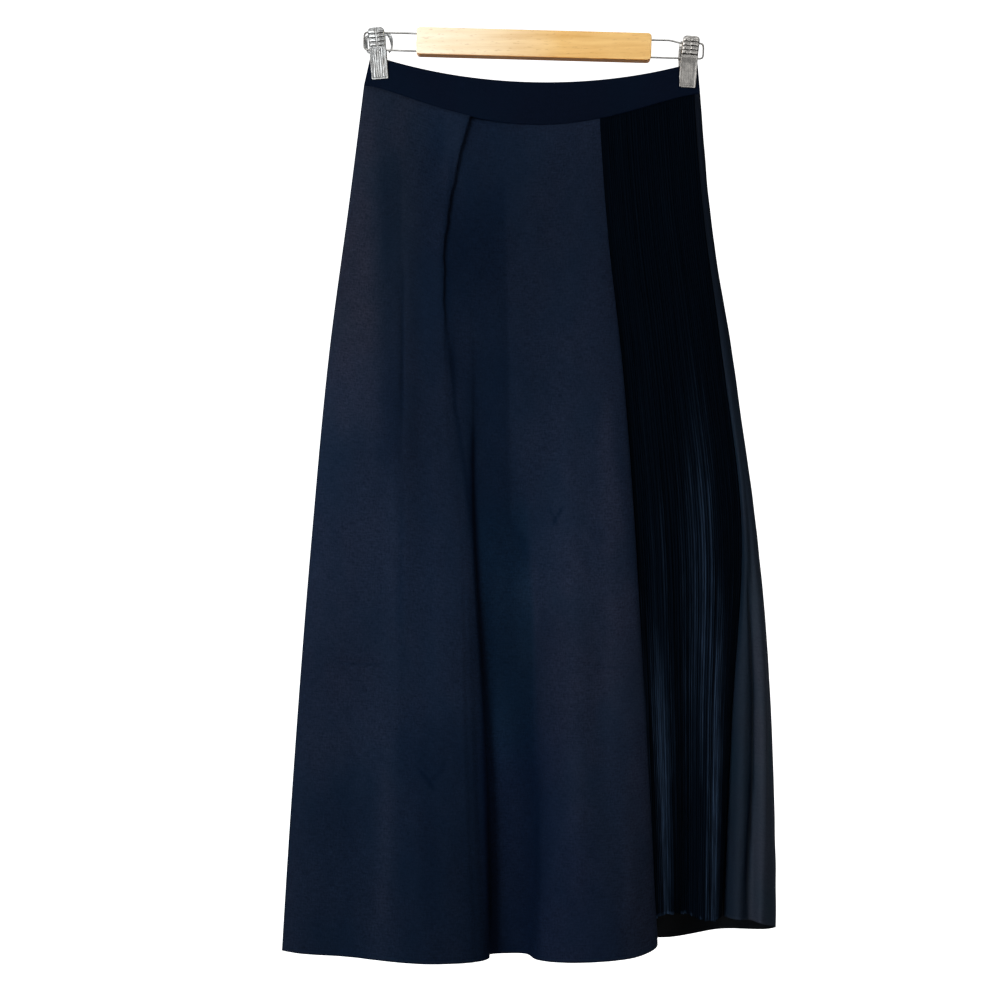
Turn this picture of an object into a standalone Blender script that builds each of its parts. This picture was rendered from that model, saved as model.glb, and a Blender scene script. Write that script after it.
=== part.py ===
"""A long A-line skirt held at its waistband by the two clips of a wooden hanger bar.

Metres, +Z up, +X to the right seen from the front, +Y away from the viewer.
The origin is the middle of the hanger bar's top face, where the part is held.
"""

import math
from collections import namedtuple

import bmesh
import bpy
import numpy as np

MM = 0.001

# Cloth thicknesses, the space left at every seam and the panels' drop below the waist seam
PANEL_CLOTH = 1.2 * MM
PLEAT_CLOTH = 1.0 * MM
BAND_CLOTH = 1.6 * MM
SEAM_GAP = 0.3 * MM
BAND_DROP = 0.35 * MM

# Waistband: ends of its top edge and of its lower seam, left then right
BAND_TOP_X = (-174.5 * MM, 174.5 * MM)
BAND_TOP_Z = (-25.2 * MM, -32.5 * MM)
BAND_SEAM_X = (-182.0 * MM, 177.5 * MM)
BAND_SEAM_Z = (-58.3 * MM, -67.4 * MM)
BAND_TOP_DIP = 27.0 * MM
BAND_SEAM_DIP = 39.0 * MM
BAND_TOP_SHAPE = 1.0
BAND_SEAM_SHAPE = 1.5
BAND_BELLY = 4.2 * MM
BAND_COLUMNS = 32
BAND_ROWS = 3

# Heights at which the lines down the cloth are placed, as shares of the way from seam to hem
X_LEVELS = (0.0, 0.13, 0.30, 0.52, 0.76, 1.0)
Y_LEVELS = (0.0, 0.5, 1.0)
CLOTH_ROWS = 14
STEPS_PER_SPAN = 2

# A line down the cloth, in mm: x at waist, hip, seat, thigh, knee and hem,
# y at waist, middle and hem, and the height z of the hem on that line
Line = namedtuple("Line", "name x y hem")

FRONT_LINES = (
    Line("left seam", (-182, -197, -218, -237.5, -255, -269.5), (-0.75, -0.75, -0.75), -983),
    Line("side turn", (-175.5, -190.5, -209, -226, -240.5, -249), (-0.9, -7, -10.5), -983),
    Line("left rise", (-152, -166.5, -180, -190, -197, -200), (-1.4, -15, -20), -983),
    Line("crease", (-134.5, -140.5, -141.5, -140.5, -143.5, -153.5), (-1.9, -22, -34), -983),
    Line("left crest", (-111, -119.5, -121, -116.5, -113.5, -111), (-3.2, -26, -43), -983),
    Line("roll right", (-86.5, -107, -107, -93, -88.5, -80), (-5.4, -27, -41), -983),
    Line("pleat edge", (-68.5, -93.5, -95.5, -82.5, -78, -69), (-6.6, -27, -38.5), -983),
    Line("pleat edge back", (-68.5, -93.5, -93, -79, -74, -65), (-4.4, -26.7, -37.4), -983),
    Line("pleat under", (-82.5, -101, -90, -75.5, -70, -61), (-3.8, -25.6, -35.5), -983),
    Line("pleat under back", (-82.5, -101, -87, -72, -66, -56.5), (-1.6, -24.8, -33.5), -983),
    Line("pleat back", (-66, -86, -80, -68.5, -61, -51.5), (-1.8, -23.5, -29.5), -983),
    Line("fold edge", (-52.5, -71.5, -68, -64.5, -51, -48), (-2.8, -20.5, -23), -983),
    Line("fold foot", (-44, -61, -62, -62.5, -51.5, -47.5), (-3.6, -16.5, -13), -983),
    Line("valley", (-31, -45, -45, -36.5, -26, -28), (-4.6, -15, -9.5), -983),
    Line("valley right", (-15, -28, -26, -10, 1.5, -9), (-5, -16, -11.5), -983),
    Line("right rise", (6, -11, -11, 3.5, 12, 3.5), (-5.15, -20.5, -30), -983),
    Line("right crest", (34, 31.5, 32, 39, 45, 43.5), (-4.8, -26, -38.5), -983),
    Line("right fall", (55, 61, 72.5, 85.5, 93.5, 98), (-4.4, -22, -27), -983),
    Line("roll edge", (66, 74, 90.5, 105.5, 119.5, 131), (-4.1, -13.5, -3.5), -982),
    Line("insert seam", (70, 77.5, 93.5, 108, 118, 125.5), (-3.9, -9.5, 5), -981),
)

PLEATED_LINES = (
    Line("insert seam", (70.5, 78, 94, 108.5, 118.1, 125.6), (-3.9, -8.8, 6.3), -952),
    Line("shadow", (76.5, 84, 101, 116, 128.3, 137), (-3.6, -5, 9), -950),
    Line("near ridge", (97, 106, 123, 134, 145, 143.5), (-3.0, -7, 1), -945),
    Line("gully", (123.5, 131, 149, 164, 167, 164.5), (-2.05, -3, 13), -948),
    Line("far ridge", (149.5, 157.5, 174.5, 187, 185, 184.5), (-1.35, -6, -3), -951),
    Line("strip seam", (171, 179.5, 199, 222, 212.5, 204), (-1, 4, 19), -952),
)

BACK_LINES = (
    Line("strip seam", (171.5, 180, 199.8, 222.9, 213.6, 205.4), (-1, 4.5, 19.4), -952),
    Line("near flute", (173, 181.5, 202.5, 226, 224.7, 218), (-1, 1, -1), -950.5),
    Line("dip", (174.5, 184, 205.5, 230, 236.5, 232.5), (-1, 3, 7), -953),
    Line("far flute", (176, 186.5, 208, 233.5, 246.5, 242.5), (-0.9, 4, -1), -954.5),
    Line("right edge", (177.5, 187.5, 211, 239.5, 257.5, 263), (0, 10, 26), -967),
    Line("back turn", (176, 184.5, 206.5, 235, 251.5, 256), (0.95, 14, 36), -972),
    Line("back right", (150, 160, 176, 192, 205, 210), (1.3, 22, 58), -978.5),
    Line("right valley", (112, 118, 128, 138, 146, 142), (2.3, 18, 42), -983),
    Line("right roll", (72, 76, 82, 88, 90, 84), (3.9, 27, 62), -984),
    Line("back middle", (18, 18, 18, 16, 10, 4), (5.1, 24, 54), -984),
    Line("left valley", (-24, -26, -30, -36, -44, -50), (5.1, 17, 33), -984),
    Line("left roll", (-72, -78, -86, -96, -108, -116), (3.9, 26, 58), -984),
    Line("back fall", (-122, -132, -146, -162, -178, -188), (2.1, 20, 42), -983.5),
    Line("back side", (-160, -172, -190, -208, -224, -236), (1.2, 11, 20), -983),
    Line("left turn", (-177, -192, -212, -230.5, -247, -261), (0.9, 4, 6.5), -983),
    Line("left seam", (-182, -197, -218, -237.5, -255, -269.5), (0.75, 0.75, 0.75), -983),
)

# Knife pleats of the insert
PLEATS = 20
PLEAT_HEIGHT = 1.7 * MM

# Hanger bar, which hangs a little lower at the right
BAR_LENGTH = 251 * MM
BAR_DEPTH = 12 * MM
BAR_HEIGHT = 29 * MM
BAR_CORNER = 4 * MM
BAR_EDGE = 1 * MM
BAR_TILT = math.radians(1.55)

# U-shaped wires: two legs in the bar's end holes, joined by a round outer end
WIRE_RADIUS = 1.0 * MM
WIRE_UPPER_Z = -5.6 * MM
WIRE_LOWER_Z = -24.3 * MM
WIRE_REACH = 181.6 * MM
WIRE_END_WIDTH = 7 * MM
WIRE_IN_BAR = 10 * MM
HOLE_CLEARANCE = 0.3 * MM
STEP_INNER_X = 146 * MM
STEP_OUTER_X = 156 * MM

# Clips, each in a frame of its own at the lower wire
CLIP_X = 166.4 * MM
CLIP_WIDTH = 17.8 * MM
CLIP_STEEL = 1.0 * MM
SPRING_RADIUS = 2.8 * MM
SPRING_LENGTH = 13 * MM
RIBS = 4
RIB_HEIGHT = 0.9 * MM
RIB_START = 4.5 * MM
RIB_PITCH = 4.0 * MM

# Inner side of a jaw, in mm: height above the lower wire, distance from the cloth's middle plane
JawPoint = namedtuple("JawPoint", "z y")
JAW_INNER = (
    JawPoint(-32.1, 2.35),
    JawPoint(-27.0, 2.35),
    JawPoint(-16.0, 3.1),
    JawPoint(-6.0, 3.3),
    JawPoint(0.0, 3.1),
    JawPoint(2.0, 3.5),
    JawPoint(20.9, 10.0),
)

Side = namedtuple("Side", "name sign lean wire_step")
SIDES = (
    Side("left", -1, math.radians(-6.0), 0.0),
    Side("right", 1, math.radians(2.7), 2.4 * MM),
)


def clear_scene():
    """Start from an empty file."""
    for old in list(bpy.data.objects):
        bpy.data.objects.remove(old, do_unlink=True)


def new_collection(name):
    """A collection under the scene's own."""
    group = bpy.data.collections.new(name)
    bpy.context.scene.collection.children.link(group)
    return group


def new_material(name, colour, roughness, metallic=0.0):
    """A plain Principled material."""
    material = bpy.data.materials.new(name)
    material.use_nodes = True
    shader = material.node_tree.nodes["Principled BSDF"]
    shader.inputs["Base Color"].default_value = (*colour, 1.0)
    shader.inputs["Roughness"].default_value = roughness
    shader.inputs["Metallic"].default_value = metallic
    return material


def add_object(name, data, group, material):
    """An object in its group, with its material."""
    item = bpy.data.objects.new(name, data)
    group.objects.link(item)
    if material:
        data.materials.append(material)
    return item


def smooth(knots, values, at):
    """A smooth curve through the values, read at one place or at many."""
    knots = np.asarray(knots, float)
    values = np.asarray(values, float)
    widths = np.diff(knots)
    rises = np.diff(values) / widths
    slopes = np.empty(len(values))
    slopes[1:-1] = (rises[:-1] * widths[1:] + rises[1:] * widths[:-1]) / (widths[:-1] + widths[1:])
    slopes[0] = 2 * rises[0] - slopes[1]
    slopes[-1] = 2 * rises[-1] - slopes[-2]
    at = np.asarray(at, float)
    span = np.clip(np.searchsorted(knots, at, side="right") - 1, 0, len(widths) - 1)
    t = (at - knots[span]) / widths[span]
    start = (1 + 2 * t) * (1 - t) ** 2 * values[span]
    start_slope = t * (1 - t) ** 2 * widths[span] * slopes[span]
    end = t * t * (3 - 2 * t) * values[span + 1]
    end_slope = t * t * (t - 1) * widths[span] * slopes[span + 1]
    return start + start_slope + end + end_slope


def across(x):
    """Where x lies between the band's ends, from -1 at the left to 1 at the right."""
    middle = (BAND_SEAM_X[0] + BAND_SEAM_X[1]) / 2
    half = (BAND_SEAM_X[1] - BAND_SEAM_X[0]) / 2
    return np.clip((np.asarray(x) - middle) / half, -1.0, 1.0)


def band_edge(share, ends, dip, shape):
    """Height of a waistband edge that hangs between its two ends."""
    chord = ends[0] + (ends[1] - ends[0]) * (share + 1) / 2
    return chord - dip * (1 - share * share) ** shape


def seam_height(x):
    """Height of the seam under the waistband."""
    return band_edge(across(x), BAND_SEAM_Z, BAND_SEAM_DIP, BAND_SEAM_SHAPE)


def plan_row(lines, level):
    """The cloth's path seen from above at one level, as columns of x, y and hem height."""
    x = np.array([smooth(X_LEVELS, line.x, level) for line in lines]) * MM
    y = np.array([smooth(Y_LEVELS, line.y, level) for line in lines]) * MM
    hem = np.array([line.hem for line in lines]) * MM
    knots = np.concatenate(([0.0], np.cumsum(np.sqrt(np.hypot(np.diff(x), np.diff(y))))))
    steps = np.arange((len(lines) - 1) * STEPS_PER_SPAN + 1) / STEPS_PER_SPAN
    at = np.interp(steps, np.arange(len(lines)), knots)
    return np.column_stack([smooth(knots, column, at) for column in (x, y, hem)])


def even_row(row, count):
    """The same path with a number of points an equal distance apart."""
    length = np.concatenate(([0.0], np.cumsum(np.hypot(np.diff(row[:, 0]), np.diff(row[:, 1])))))
    at = np.linspace(0, length[-1], count)
    return np.column_stack([np.interp(at, length, row[:, column]) for column in range(3)])


def pleat_row(row):
    """The path folded to and fro into knife pleats that die out at both seams."""
    path = even_row(row, 2 * PLEATS + 1)
    along = np.gradient(path[:, :2], axis=0)
    along /= np.linalg.norm(along, axis=1)[:, None]
    outward = np.column_stack((along[:, 1], -along[:, 0]))
    swing = np.where(np.arange(len(path)) % 2 == 0, -0.5, 0.5) * PLEAT_HEIGHT
    swing[0] = 0.0
    swing[-1] = 0.0
    path[:, :2] += outward * swing[:, None]
    return path


def cloth_grid(lines, shape_row=None):
    """Rows of points from the waist seam to the hem."""
    grid = []
    top = None
    for level in np.linspace(0, 1, CLOTH_ROWS + 1):
        row = plan_row(lines, level)
        if shape_row:
            row = shape_row(row)
        if top is None:
            top = seam_height(row[:, 0]) - BAND_DROP
        height = top + (row[:, 2] - top) * level
        grid.append(np.column_stack((row[:, 0], row[:, 1], height)))
    return grid


def band_grid(side):
    """Rows of points of one waistband, side -1 for the front and 1 for the back."""
    shares = np.linspace(-1, 1, BAND_COLUMNS + 1)
    inner = (SEAM_GAP + BAND_CLOTH) / 2
    depth = side * (inner + BAND_BELLY * (1 - shares ** 2) ** 2)
    top_x = np.interp(shares, (-1, 1), BAND_TOP_X)
    seam_x = np.interp(shares, (-1, 1), BAND_SEAM_X)
    top_z = band_edge(shares, BAND_TOP_Z, BAND_TOP_DIP, BAND_TOP_SHAPE)
    seam_z = band_edge(shares, BAND_SEAM_Z, BAND_SEAM_DIP, BAND_SEAM_SHAPE) + SEAM_GAP / 2
    grid = []
    for level in np.linspace(0, 1, BAND_ROWS + 1):
        x = top_x + (seam_x - top_x) * level
        z = top_z + (seam_z - top_z) * level
        grid.append(np.column_stack((x, depth, z)))
    return grid


def add_cloth(name, grid, thickness, group, material):
    """A sheet through the grid's points, thickened evenly to both sides."""
    shell = bmesh.new()
    rows = [[shell.verts.new(point) for point in row] for row in grid]
    for upper, lower in zip(rows, rows[1:]):
        for i in range(len(upper) - 1):
            shell.faces.new((upper[i], lower[i], lower[i + 1], upper[i + 1]))
    mesh = bpy.data.meshes.new(name)
    shell.to_mesh(mesh)
    shell.free()
    mesh.shade_smooth()
    cloth = add_object(name, mesh, group, material)
    wall = cloth.modifiers.new("Cloth", "SOLIDIFY")
    wall.thickness = thickness
    wall.offset = 0.0
    wall.use_even_offset = True
    return cloth


def add_skirt(group):
    """The waistband and the three panels."""
    wool = new_material("wool", (0.012, 0.018, 0.036), 0.85)
    satin = new_material("pleated_satin", (0.004, 0.009, 0.017), 0.45)
    crepe = new_material("crepe", (0.017, 0.024, 0.036), 0.6)
    band = new_material("band", (0.004, 0.007, 0.014), 0.7)
    add_cloth("waistband_front", band_grid(-1), BAND_CLOTH, group, band)
    add_cloth("waistband_back", band_grid(1), BAND_CLOTH, group, band)
    add_cloth("front_panel", cloth_grid(FRONT_LINES), PANEL_CLOTH, group, wool)
    add_cloth("pleated_panel", cloth_grid(PLEATED_LINES, pleat_row), PLEAT_CLOTH, group, satin)
    add_cloth("back_panel", cloth_grid(BACK_LINES), PANEL_CLOTH, group, crepe)


def add_empty(name, parent, location, turn):
    """A frame that carries pieces, turned about its Y axis."""
    frame = bpy.data.objects.new(name, None)
    bpy.context.scene.collection.objects.link(frame)
    frame.parent = parent
    frame.location = location
    frame.rotation_euler.y = turn
    return frame


def add_hole_cutter(hanger, cutters):
    """Four short rods where the wires go into the bar's ends."""
    tool = bmesh.new()
    for side in SIDES:
        for height in (WIRE_UPPER_Z, WIRE_LOWER_Z):
            rod = bmesh.ops.create_cone(
                tool,
                cap_ends=True,
                segments=16,
                radius1=WIRE_RADIUS + HOLE_CLEARANCE,
                radius2=WIRE_RADIUS + HOLE_CLEARANCE,
                depth=2 * (WIRE_IN_BAR + HOLE_CLEARANCE),
            )
            for corner in rod["verts"]:
                x, y, z = corner.co
                corner.co = (z + side.sign * BAR_LENGTH / 2, y, height - x)
    mesh = bpy.data.meshes.new("wire_holes")
    tool.to_mesh(mesh)
    tool.free()
    cutter = add_object("wire_holes", mesh, cutters, None)
    cutter.parent = hanger
    cutter.hide_render = True
    cutter.display_type = "WIRE"
    return cutter


def add_bar(hanger, group, cutters, material):
    """The wooden bar, its top face in the hanger frame's XY plane."""
    block = bmesh.new()
    bmesh.ops.create_cube(block, size=1.0)
    bmesh.ops.scale(block, vec=(BAR_LENGTH, BAR_DEPTH, BAR_HEIGHT), verts=block.verts)
    bmesh.ops.translate(block, vec=(0, 0, -BAR_HEIGHT / 2), verts=block.verts)
    corners = [e for e in block.edges if abs(e.verts[0].co.y - e.verts[1].co.y) > BAR_DEPTH / 2]
    bmesh.ops.bevel(block, geom=corners, offset=BAR_CORNER, segments=4, profile=0.5, affect="EDGES")
    mesh = bpy.data.meshes.new("hanger_bar")
    block.to_mesh(mesh)
    block.free()
    bar = add_object("hanger_bar", mesh, group, material)
    bar.parent = hanger
    rounding = bar.modifiers.new("Edges", "BEVEL")
    rounding.width = BAR_EDGE
    rounding.segments = 2
    rounding.limit_method = "ANGLE"
    rounding.angle_limit = math.radians(50)
    holes = bar.modifiers.new("Wire holes", "BOOLEAN")
    holes.operation = "DIFFERENCE"
    holes.solver = "EXACT"
    holes.object = add_hole_cutter(hanger, cutters)
    return bar


def wire_points(side):
    """Centre line of one U-shaped wire, from the bar along the upper leg, round and back."""
    inner = BAR_LENGTH / 2 - WIRE_IN_BAR
    upper = WIRE_UPPER_Z - side.wire_step
    turn_x = WIRE_REACH - WIRE_END_WIDTH
    points = [(inner, WIRE_UPPER_Z), (STEP_INNER_X, WIRE_UPPER_Z), (STEP_OUTER_X, upper)]
    middle = (upper + WIRE_LOWER_Z) / 2
    half = (upper - WIRE_LOWER_Z) / 2
    for i in range(13):
        angle = math.pi / 2 - math.pi * i / 12
        points.append((turn_x + WIRE_END_WIDTH * math.cos(angle), middle + half * math.sin(angle)))
    points.append((inner, WIRE_LOWER_Z))
    return [(side.sign * x, 0.0, z) for x, z in points]


def add_wire(side, hanger, group, material):
    """One U-shaped wire as a bevelled curve."""
    curve = bpy.data.curves.new("wire_" + side.name, "CURVE")
    curve.dimensions = "3D"
    curve.bevel_depth = WIRE_RADIUS
    curve.bevel_resolution = 2
    curve.use_fill_caps = True
    points = wire_points(side)
    spline = curve.splines.new("POLY")
    spline.points.add(len(points) - 1)
    for knot, point in zip(spline.points, points):
        knot.co = (*point, 1.0)
    wire = add_object("wire_" + side.name, curve, group, material)
    wire.parent = hanger
    return wire


def jaw_outline():
    """Side view of a jaw: distance from the middle plane, height above the lower wire."""
    heights = [point.z * MM for point in JAW_INNER]
    inner = [(point.y * MM, point.z * MM) for point in JAW_INNER]
    reach = [point.y * MM for point in JAW_INNER]
    outer = [(y + CLIP_STEEL, z) for y, z in inner[:-1]]
    for rib in range(RIBS):
        base = RIB_START + rib * RIB_PITCH
        for share, lift in ((-0.35, 0.0), (-0.15, 0.85), (0.15, 0.85), (0.35, 0.0)):
            z = base + share * RIB_PITCH
            y = float(np.interp(z, heights, reach)) + CLIP_STEEL + lift * RIB_HEIGHT
            outer.append((y, z))
    outer.append((inner[-1][0] + CLIP_STEEL, inner[-1][1]))
    return outer + inner[::-1]


def add_jaw(name, facing, frame, group, material):
    """One pressed steel jaw, facing -1 at the front and 1 at the back."""
    curve = bpy.data.curves.new(name, "CURVE")
    curve.dimensions = "2D"
    curve.fill_mode = "BOTH"
    curve.extrude = CLIP_WIDTH / 2
    points = jaw_outline()
    spline = curve.splines.new("POLY")
    spline.points.add(len(points) - 1)
    for knot, (reach, height) in zip(spline.points, points):
        knot.co = (facing * reach, height, 0.0, 1.0)
    spline.use_cyclic_u = True
    jaw = add_object(name, curve, group, material)
    jaw.parent = frame
    jaw.rotation_euler = (math.pi / 2, 0.0, math.pi / 2)
    return jaw


def add_spring(side, hanger, group, material):
    """The coil round the lower wire that presses the jaws, as one sleeve."""
    inner = WIRE_RADIUS + HOLE_CLEARANCE
    half = SPRING_LENGTH / 2
    section = ((SPRING_RADIUS, half), (SPRING_RADIUS, -half), (inner, -half), (inner, half))
    profile = bmesh.new()
    corners = [profile.verts.new((radius, 0.0, height)) for radius, height in section]
    for i, corner in enumerate(corners):
        profile.edges.new((corner, corners[(i + 1) % len(corners)]))
    name = "clip_" + side.name + "_spring"
    mesh = bpy.data.meshes.new(name)
    profile.to_mesh(mesh)
    profile.free()
    spring = add_object(name, mesh, group, material)
    spring.parent = hanger
    spring.location = (side.sign * CLIP_X, 0.0, WIRE_LOWER_Z)
    spring.rotation_euler.y = math.pi / 2
    turn = spring.modifiers.new("Turn", "SCREW")
    turn.steps = 16
    turn.render_steps = 16
    turn.use_merge_vertices = True
    turn.merge_threshold = 0.0001
    return spring


def add_hanger(group, cutters):
    """The bar with a wire and a clip at each end."""
    beech = new_material("beech", (0.83, 0.55, 0.24), 0.45)
    steel = new_material("chrome", (0.62, 0.62, 0.60), 0.25, 1.0)
    hanger = add_empty("hanger_frame", None, (0, 0, 0), BAR_TILT)
    add_bar(hanger, group, cutters, beech)
    for side in SIDES:
        add_wire(side, hanger, group, steel)
        frame = add_empty(
            "clip_frame_" + side.name,
            hanger,
            (side.sign * CLIP_X, 0.0, WIRE_LOWER_Z),
            side.lean,
        )
        add_jaw("clip_" + side.name + "_front", -1, frame, group, steel)
        add_jaw("clip_" + side.name + "_back", 1, frame, group, steel)
        add_spring(side, hanger, group, steel)


def main():
    clear_scene()
    group = new_collection("maxi_skirt")
    cutters = new_collection("cutters")
    add_skirt(group)
    add_hanger(group, cutters)
    bpy.context.view_layer.update()


main()
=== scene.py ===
"""Looks of a long A-line skirt held by the two clips of a wooden hanger bar.

Metres, +Z up, +X to the right seen from the front, +Y away from the viewer, origin in
the middle of the bar's top face. The tables of lines repeat those of the CAD source.
"""

import math
from collections import namedtuple

import bpy
import numpy as np
from mathutils import Matrix, Vector


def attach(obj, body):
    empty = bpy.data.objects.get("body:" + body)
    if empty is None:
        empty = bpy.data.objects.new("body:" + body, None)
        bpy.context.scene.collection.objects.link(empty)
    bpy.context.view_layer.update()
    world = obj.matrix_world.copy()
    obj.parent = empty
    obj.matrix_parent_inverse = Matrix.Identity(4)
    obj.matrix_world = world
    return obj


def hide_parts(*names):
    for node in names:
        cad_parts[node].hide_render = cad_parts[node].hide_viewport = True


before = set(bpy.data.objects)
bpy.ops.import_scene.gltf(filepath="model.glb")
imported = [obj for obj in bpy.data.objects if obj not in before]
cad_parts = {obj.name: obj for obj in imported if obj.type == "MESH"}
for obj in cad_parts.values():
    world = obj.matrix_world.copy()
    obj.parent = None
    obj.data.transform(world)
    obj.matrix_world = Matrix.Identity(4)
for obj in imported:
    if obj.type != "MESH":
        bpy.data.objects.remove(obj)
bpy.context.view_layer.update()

MM = 0.001

# Camera and what it sees
CAMERA_PLACE = (-0.0365, -1.4, -0.5013)
FRAME_WIDTH = 1.07
SENSOR = 36.0

# Cloth thicknesses, the space left at every seam, how far the panels
# reach up into the waist seam and the extra cloth inside the left seam
WOOL_CLOTH = 0.9 * MM
PLEAT_CLOTH = 0.45 * MM
CREPE_CLOTH = 0.7 * MM
BAND_CLOTH = 1.6 * MM
SEAM_GAP = 0.3 * MM
SEAM_TUCK = 0.3 * MM
SEAM_FILL = 0.8 * MM

# Waistband: ends of its top edge and of its lower seam, left then right
BAND_TOP_X = (-174.5 * MM, 174.5 * MM)
BAND_TOP_Z = (-25.2 * MM, -32.5 * MM)
BAND_SEAM_X = (-182.0 * MM, 177.5 * MM)
BAND_SEAM_Z = (-58.3 * MM, -67.4 * MM)
BAND_TOP_DIP = 27.0 * MM
BAND_SEAM_DIP = 39.0 * MM
BAND_TOP_SHAPE = 1.0
BAND_SEAM_SHAPE = 1.5
BAND_BELLY = 4.2 * MM
BAND_COLUMNS = 220
BAND_ROWS = 26

# Heights at which the lines down the cloth are placed, as shares of the way from seam to hem
X_LEVELS = (0.0, 0.13, 0.30, 0.52, 0.76, 1.0)
Y_LEVELS = (0.0, 0.5, 1.0)

# A line down the cloth, in mm: x at waist, hip, seat, thigh, knee and hem,
# y at waist, middle and hem, the height z of the hem on that line,
# and the number of columns of faces up to the next line
Line = namedtuple("Line", "name x y hem steps")

FRONT_LINES = (
    Line("left seam", (-182, -197, -218, -237.5, -255, -269.5), (-0.75, -0.75, -0.75), -983, 9),
    Line("side turn", (-175.5, -190.5, -209, -226, -240.5, -249), (-0.9, -7, -10.5), -983, 16),
    Line("left rise", (-152, -166.5, -180, -190, -197, -200), (-1.4, -15, -20), -983, 16),
    Line("crease", (-134.5, -140.5, -141.5, -140.5, -143.5, -153.5), (-1.9, -22, -34), -983, 16),
    Line("left crest", (-111, -119.5, -121, -116.5, -113.5, -111), (-3.2, -26, -43), -983, 12),
    Line("roll right", (-86.5, -107, -107, -93, -88.5, -80), (-5.4, -27, -41), -983, 9),
    Line("pleat edge", (-68.5, -93.5, -95.5, -82.5, -78, -69), (-6.6, -27, -38.5), -983, 5),
    Line("pleat edge back", (-68.5, -93.5, -93, -79, -74, -65), (-4.4, -26.7, -37.4), -983, 6),
    Line("pleat under", (-82.5, -101, -90, -75.5, -70, -61), (-3.8, -25.6, -35.5), -983, 5),
    Line("pleat under back", (-82.5, -101, -87, -72, -66, -56.5), (-1.6, -24.8, -33.5), -983, 6),
    Line("pleat back", (-66, -86, -80, -68.5, -61, -51.5), (-1.8, -23.5, -29.5), -983, 6),
    Line("fold edge", (-52.5, -71.5, -68, -64.5, -51, -48), (-2.8, -20.5, -23), -983, 8),
    Line("fold foot", (-44, -61, -62, -62.5, -51.5, -47.5), (-3.6, -16.5, -13), -983, 8),
    Line("valley", (-31, -45, -45, -36.5, -26, -28), (-4.6, -15, -9.5), -983, 9),
    Line("valley right", (-15, -28, -26, -10, 1.5, -9), (-5, -16, -11.5), -983, 11),
    Line("right rise", (6, -11, -11, 3.5, 12, 3.5), (-5.15, -20.5, -30), -983, 16),
    Line("right crest", (34, 31.5, 32, 39, 45, 43.5), (-4.8, -26, -38.5), -983, 18),
    Line("right fall", (55, 61, 72.5, 85.5, 93.5, 98), (-4.4, -22, -27), -983, 14),
    Line("roll edge", (66, 74, 90.5, 105.5, 119.5, 131), (-4.1, -13.5, -3.5), -982, 8),
    Line("insert seam", (70, 77.5, 93.5, 108, 118, 125.5), (-3.9, -9.5, 5), -981, 0),
)

PLEATED_LINES = (
    Line("insert seam", (70.5, 78, 94, 108.5, 118.1, 125.6), (-3.9, -8.8, 6.3), -952, 1),
    Line("shadow", (76.5, 84, 101, 116, 128.3, 137), (-3.6, -5, 9), -950, 1),
    Line("near ridge", (97, 106, 123, 134, 145, 143.5), (-3.0, -7, 1), -945, 1),
    Line("gully", (123.5, 131, 149, 164, 167, 164.5), (-2.05, -3, 13), -948, 1),
    Line("far ridge", (149.5, 157.5, 174.5, 187, 185, 184.5), (-1.35, -6, -3), -951, 1),
    Line("strip seam", (171, 179.5, 199, 222, 212.5, 204), (-1, 4, 19), -952, 0),
)

BACK_LINES = (
    Line("strip seam", (171.5, 180, 199.8, 222.9, 213.6, 205.4), (-1, 4.5, 19.4), -952, 8),
    Line("near flute", (173, 181.5, 202.5, 226, 224.7, 218), (-1, 1, -1), -950.5, 8),
    Line("dip", (174.5, 184, 205.5, 230, 236.5, 232.5), (-1, 3, 7), -953, 8),
    Line("far flute", (176, 186.5, 208, 233.5, 246.5, 242.5), (-0.9, 4, -1), -954.5, 9),
    Line("right edge", (177.5, 187.5, 211, 239.5, 257.5, 263), (0, 10, 26), -967, 7),
    Line("back turn", (176, 184.5, 206.5, 235, 251.5, 256), (0.95, 14, 36), -972, 12),
    Line("back right", (150, 160, 176, 192, 205, 210), (1.3, 22, 58), -978.5, 14),
    Line("right valley", (112, 118, 128, 138, 146, 142), (2.3, 18, 42), -983, 14),
    Line("right roll", (72, 76, 82, 88, 90, 84), (3.9, 27, 62), -984, 14),
    Line("back middle", (18, 18, 18, 16, 10, 4), (5.1, 24, 54), -984, 13),
    Line("left valley", (-24, -26, -30, -36, -44, -50), (5.1, 17, 33), -984, 14),
    Line("left roll", (-72, -78, -86, -96, -108, -116), (3.9, 26, 58), -984, 14),
    Line("back fall", (-122, -132, -146, -162, -178, -188), (2.1, 20, 42), -983.5, 12),
    Line("back side", (-160, -172, -190, -208, -224, -236), (1.2, 11, 20), -983, 10),
    Line("left turn", (-177, -192, -212, -230.5, -247, -261), (0.9, 4, 6.5), -983, 8),
    Line("left seam", (-182, -197, -218, -237.5, -255, -269.5), (0.75, 0.75, 0.75), -983, 0),
)

# Soft troughs (negative depth) and ridges, in mm: a path of x, z points on the panel,
# half width, depth, and the length over which each end fades out
Mark = namedtuple("Mark", "path width depth fade")

# Paths that a crease and the line of painted shade in it share
KNEE_CREASE_RIGHT = ((48, -676), (80, -677), (108, -675))
KNEE_CREASE_LEFT = ((-212, -673), (-186, -675), (-152, -674))
LOW_CRINKLE = ((-125, -780), (-113, -792), (-104, -806))
BACK_CREASE_LEFT = ((-62, -130), (-70, -300), (-78, -520), (-88, -700))
BACK_CREASE_RIGHT = ((96, -260), (106, -430), (118, -640), (122, -830))
BACK_CREASE_LOW = ((-120, -560), (-130, -740), (-138, -960))

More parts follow.
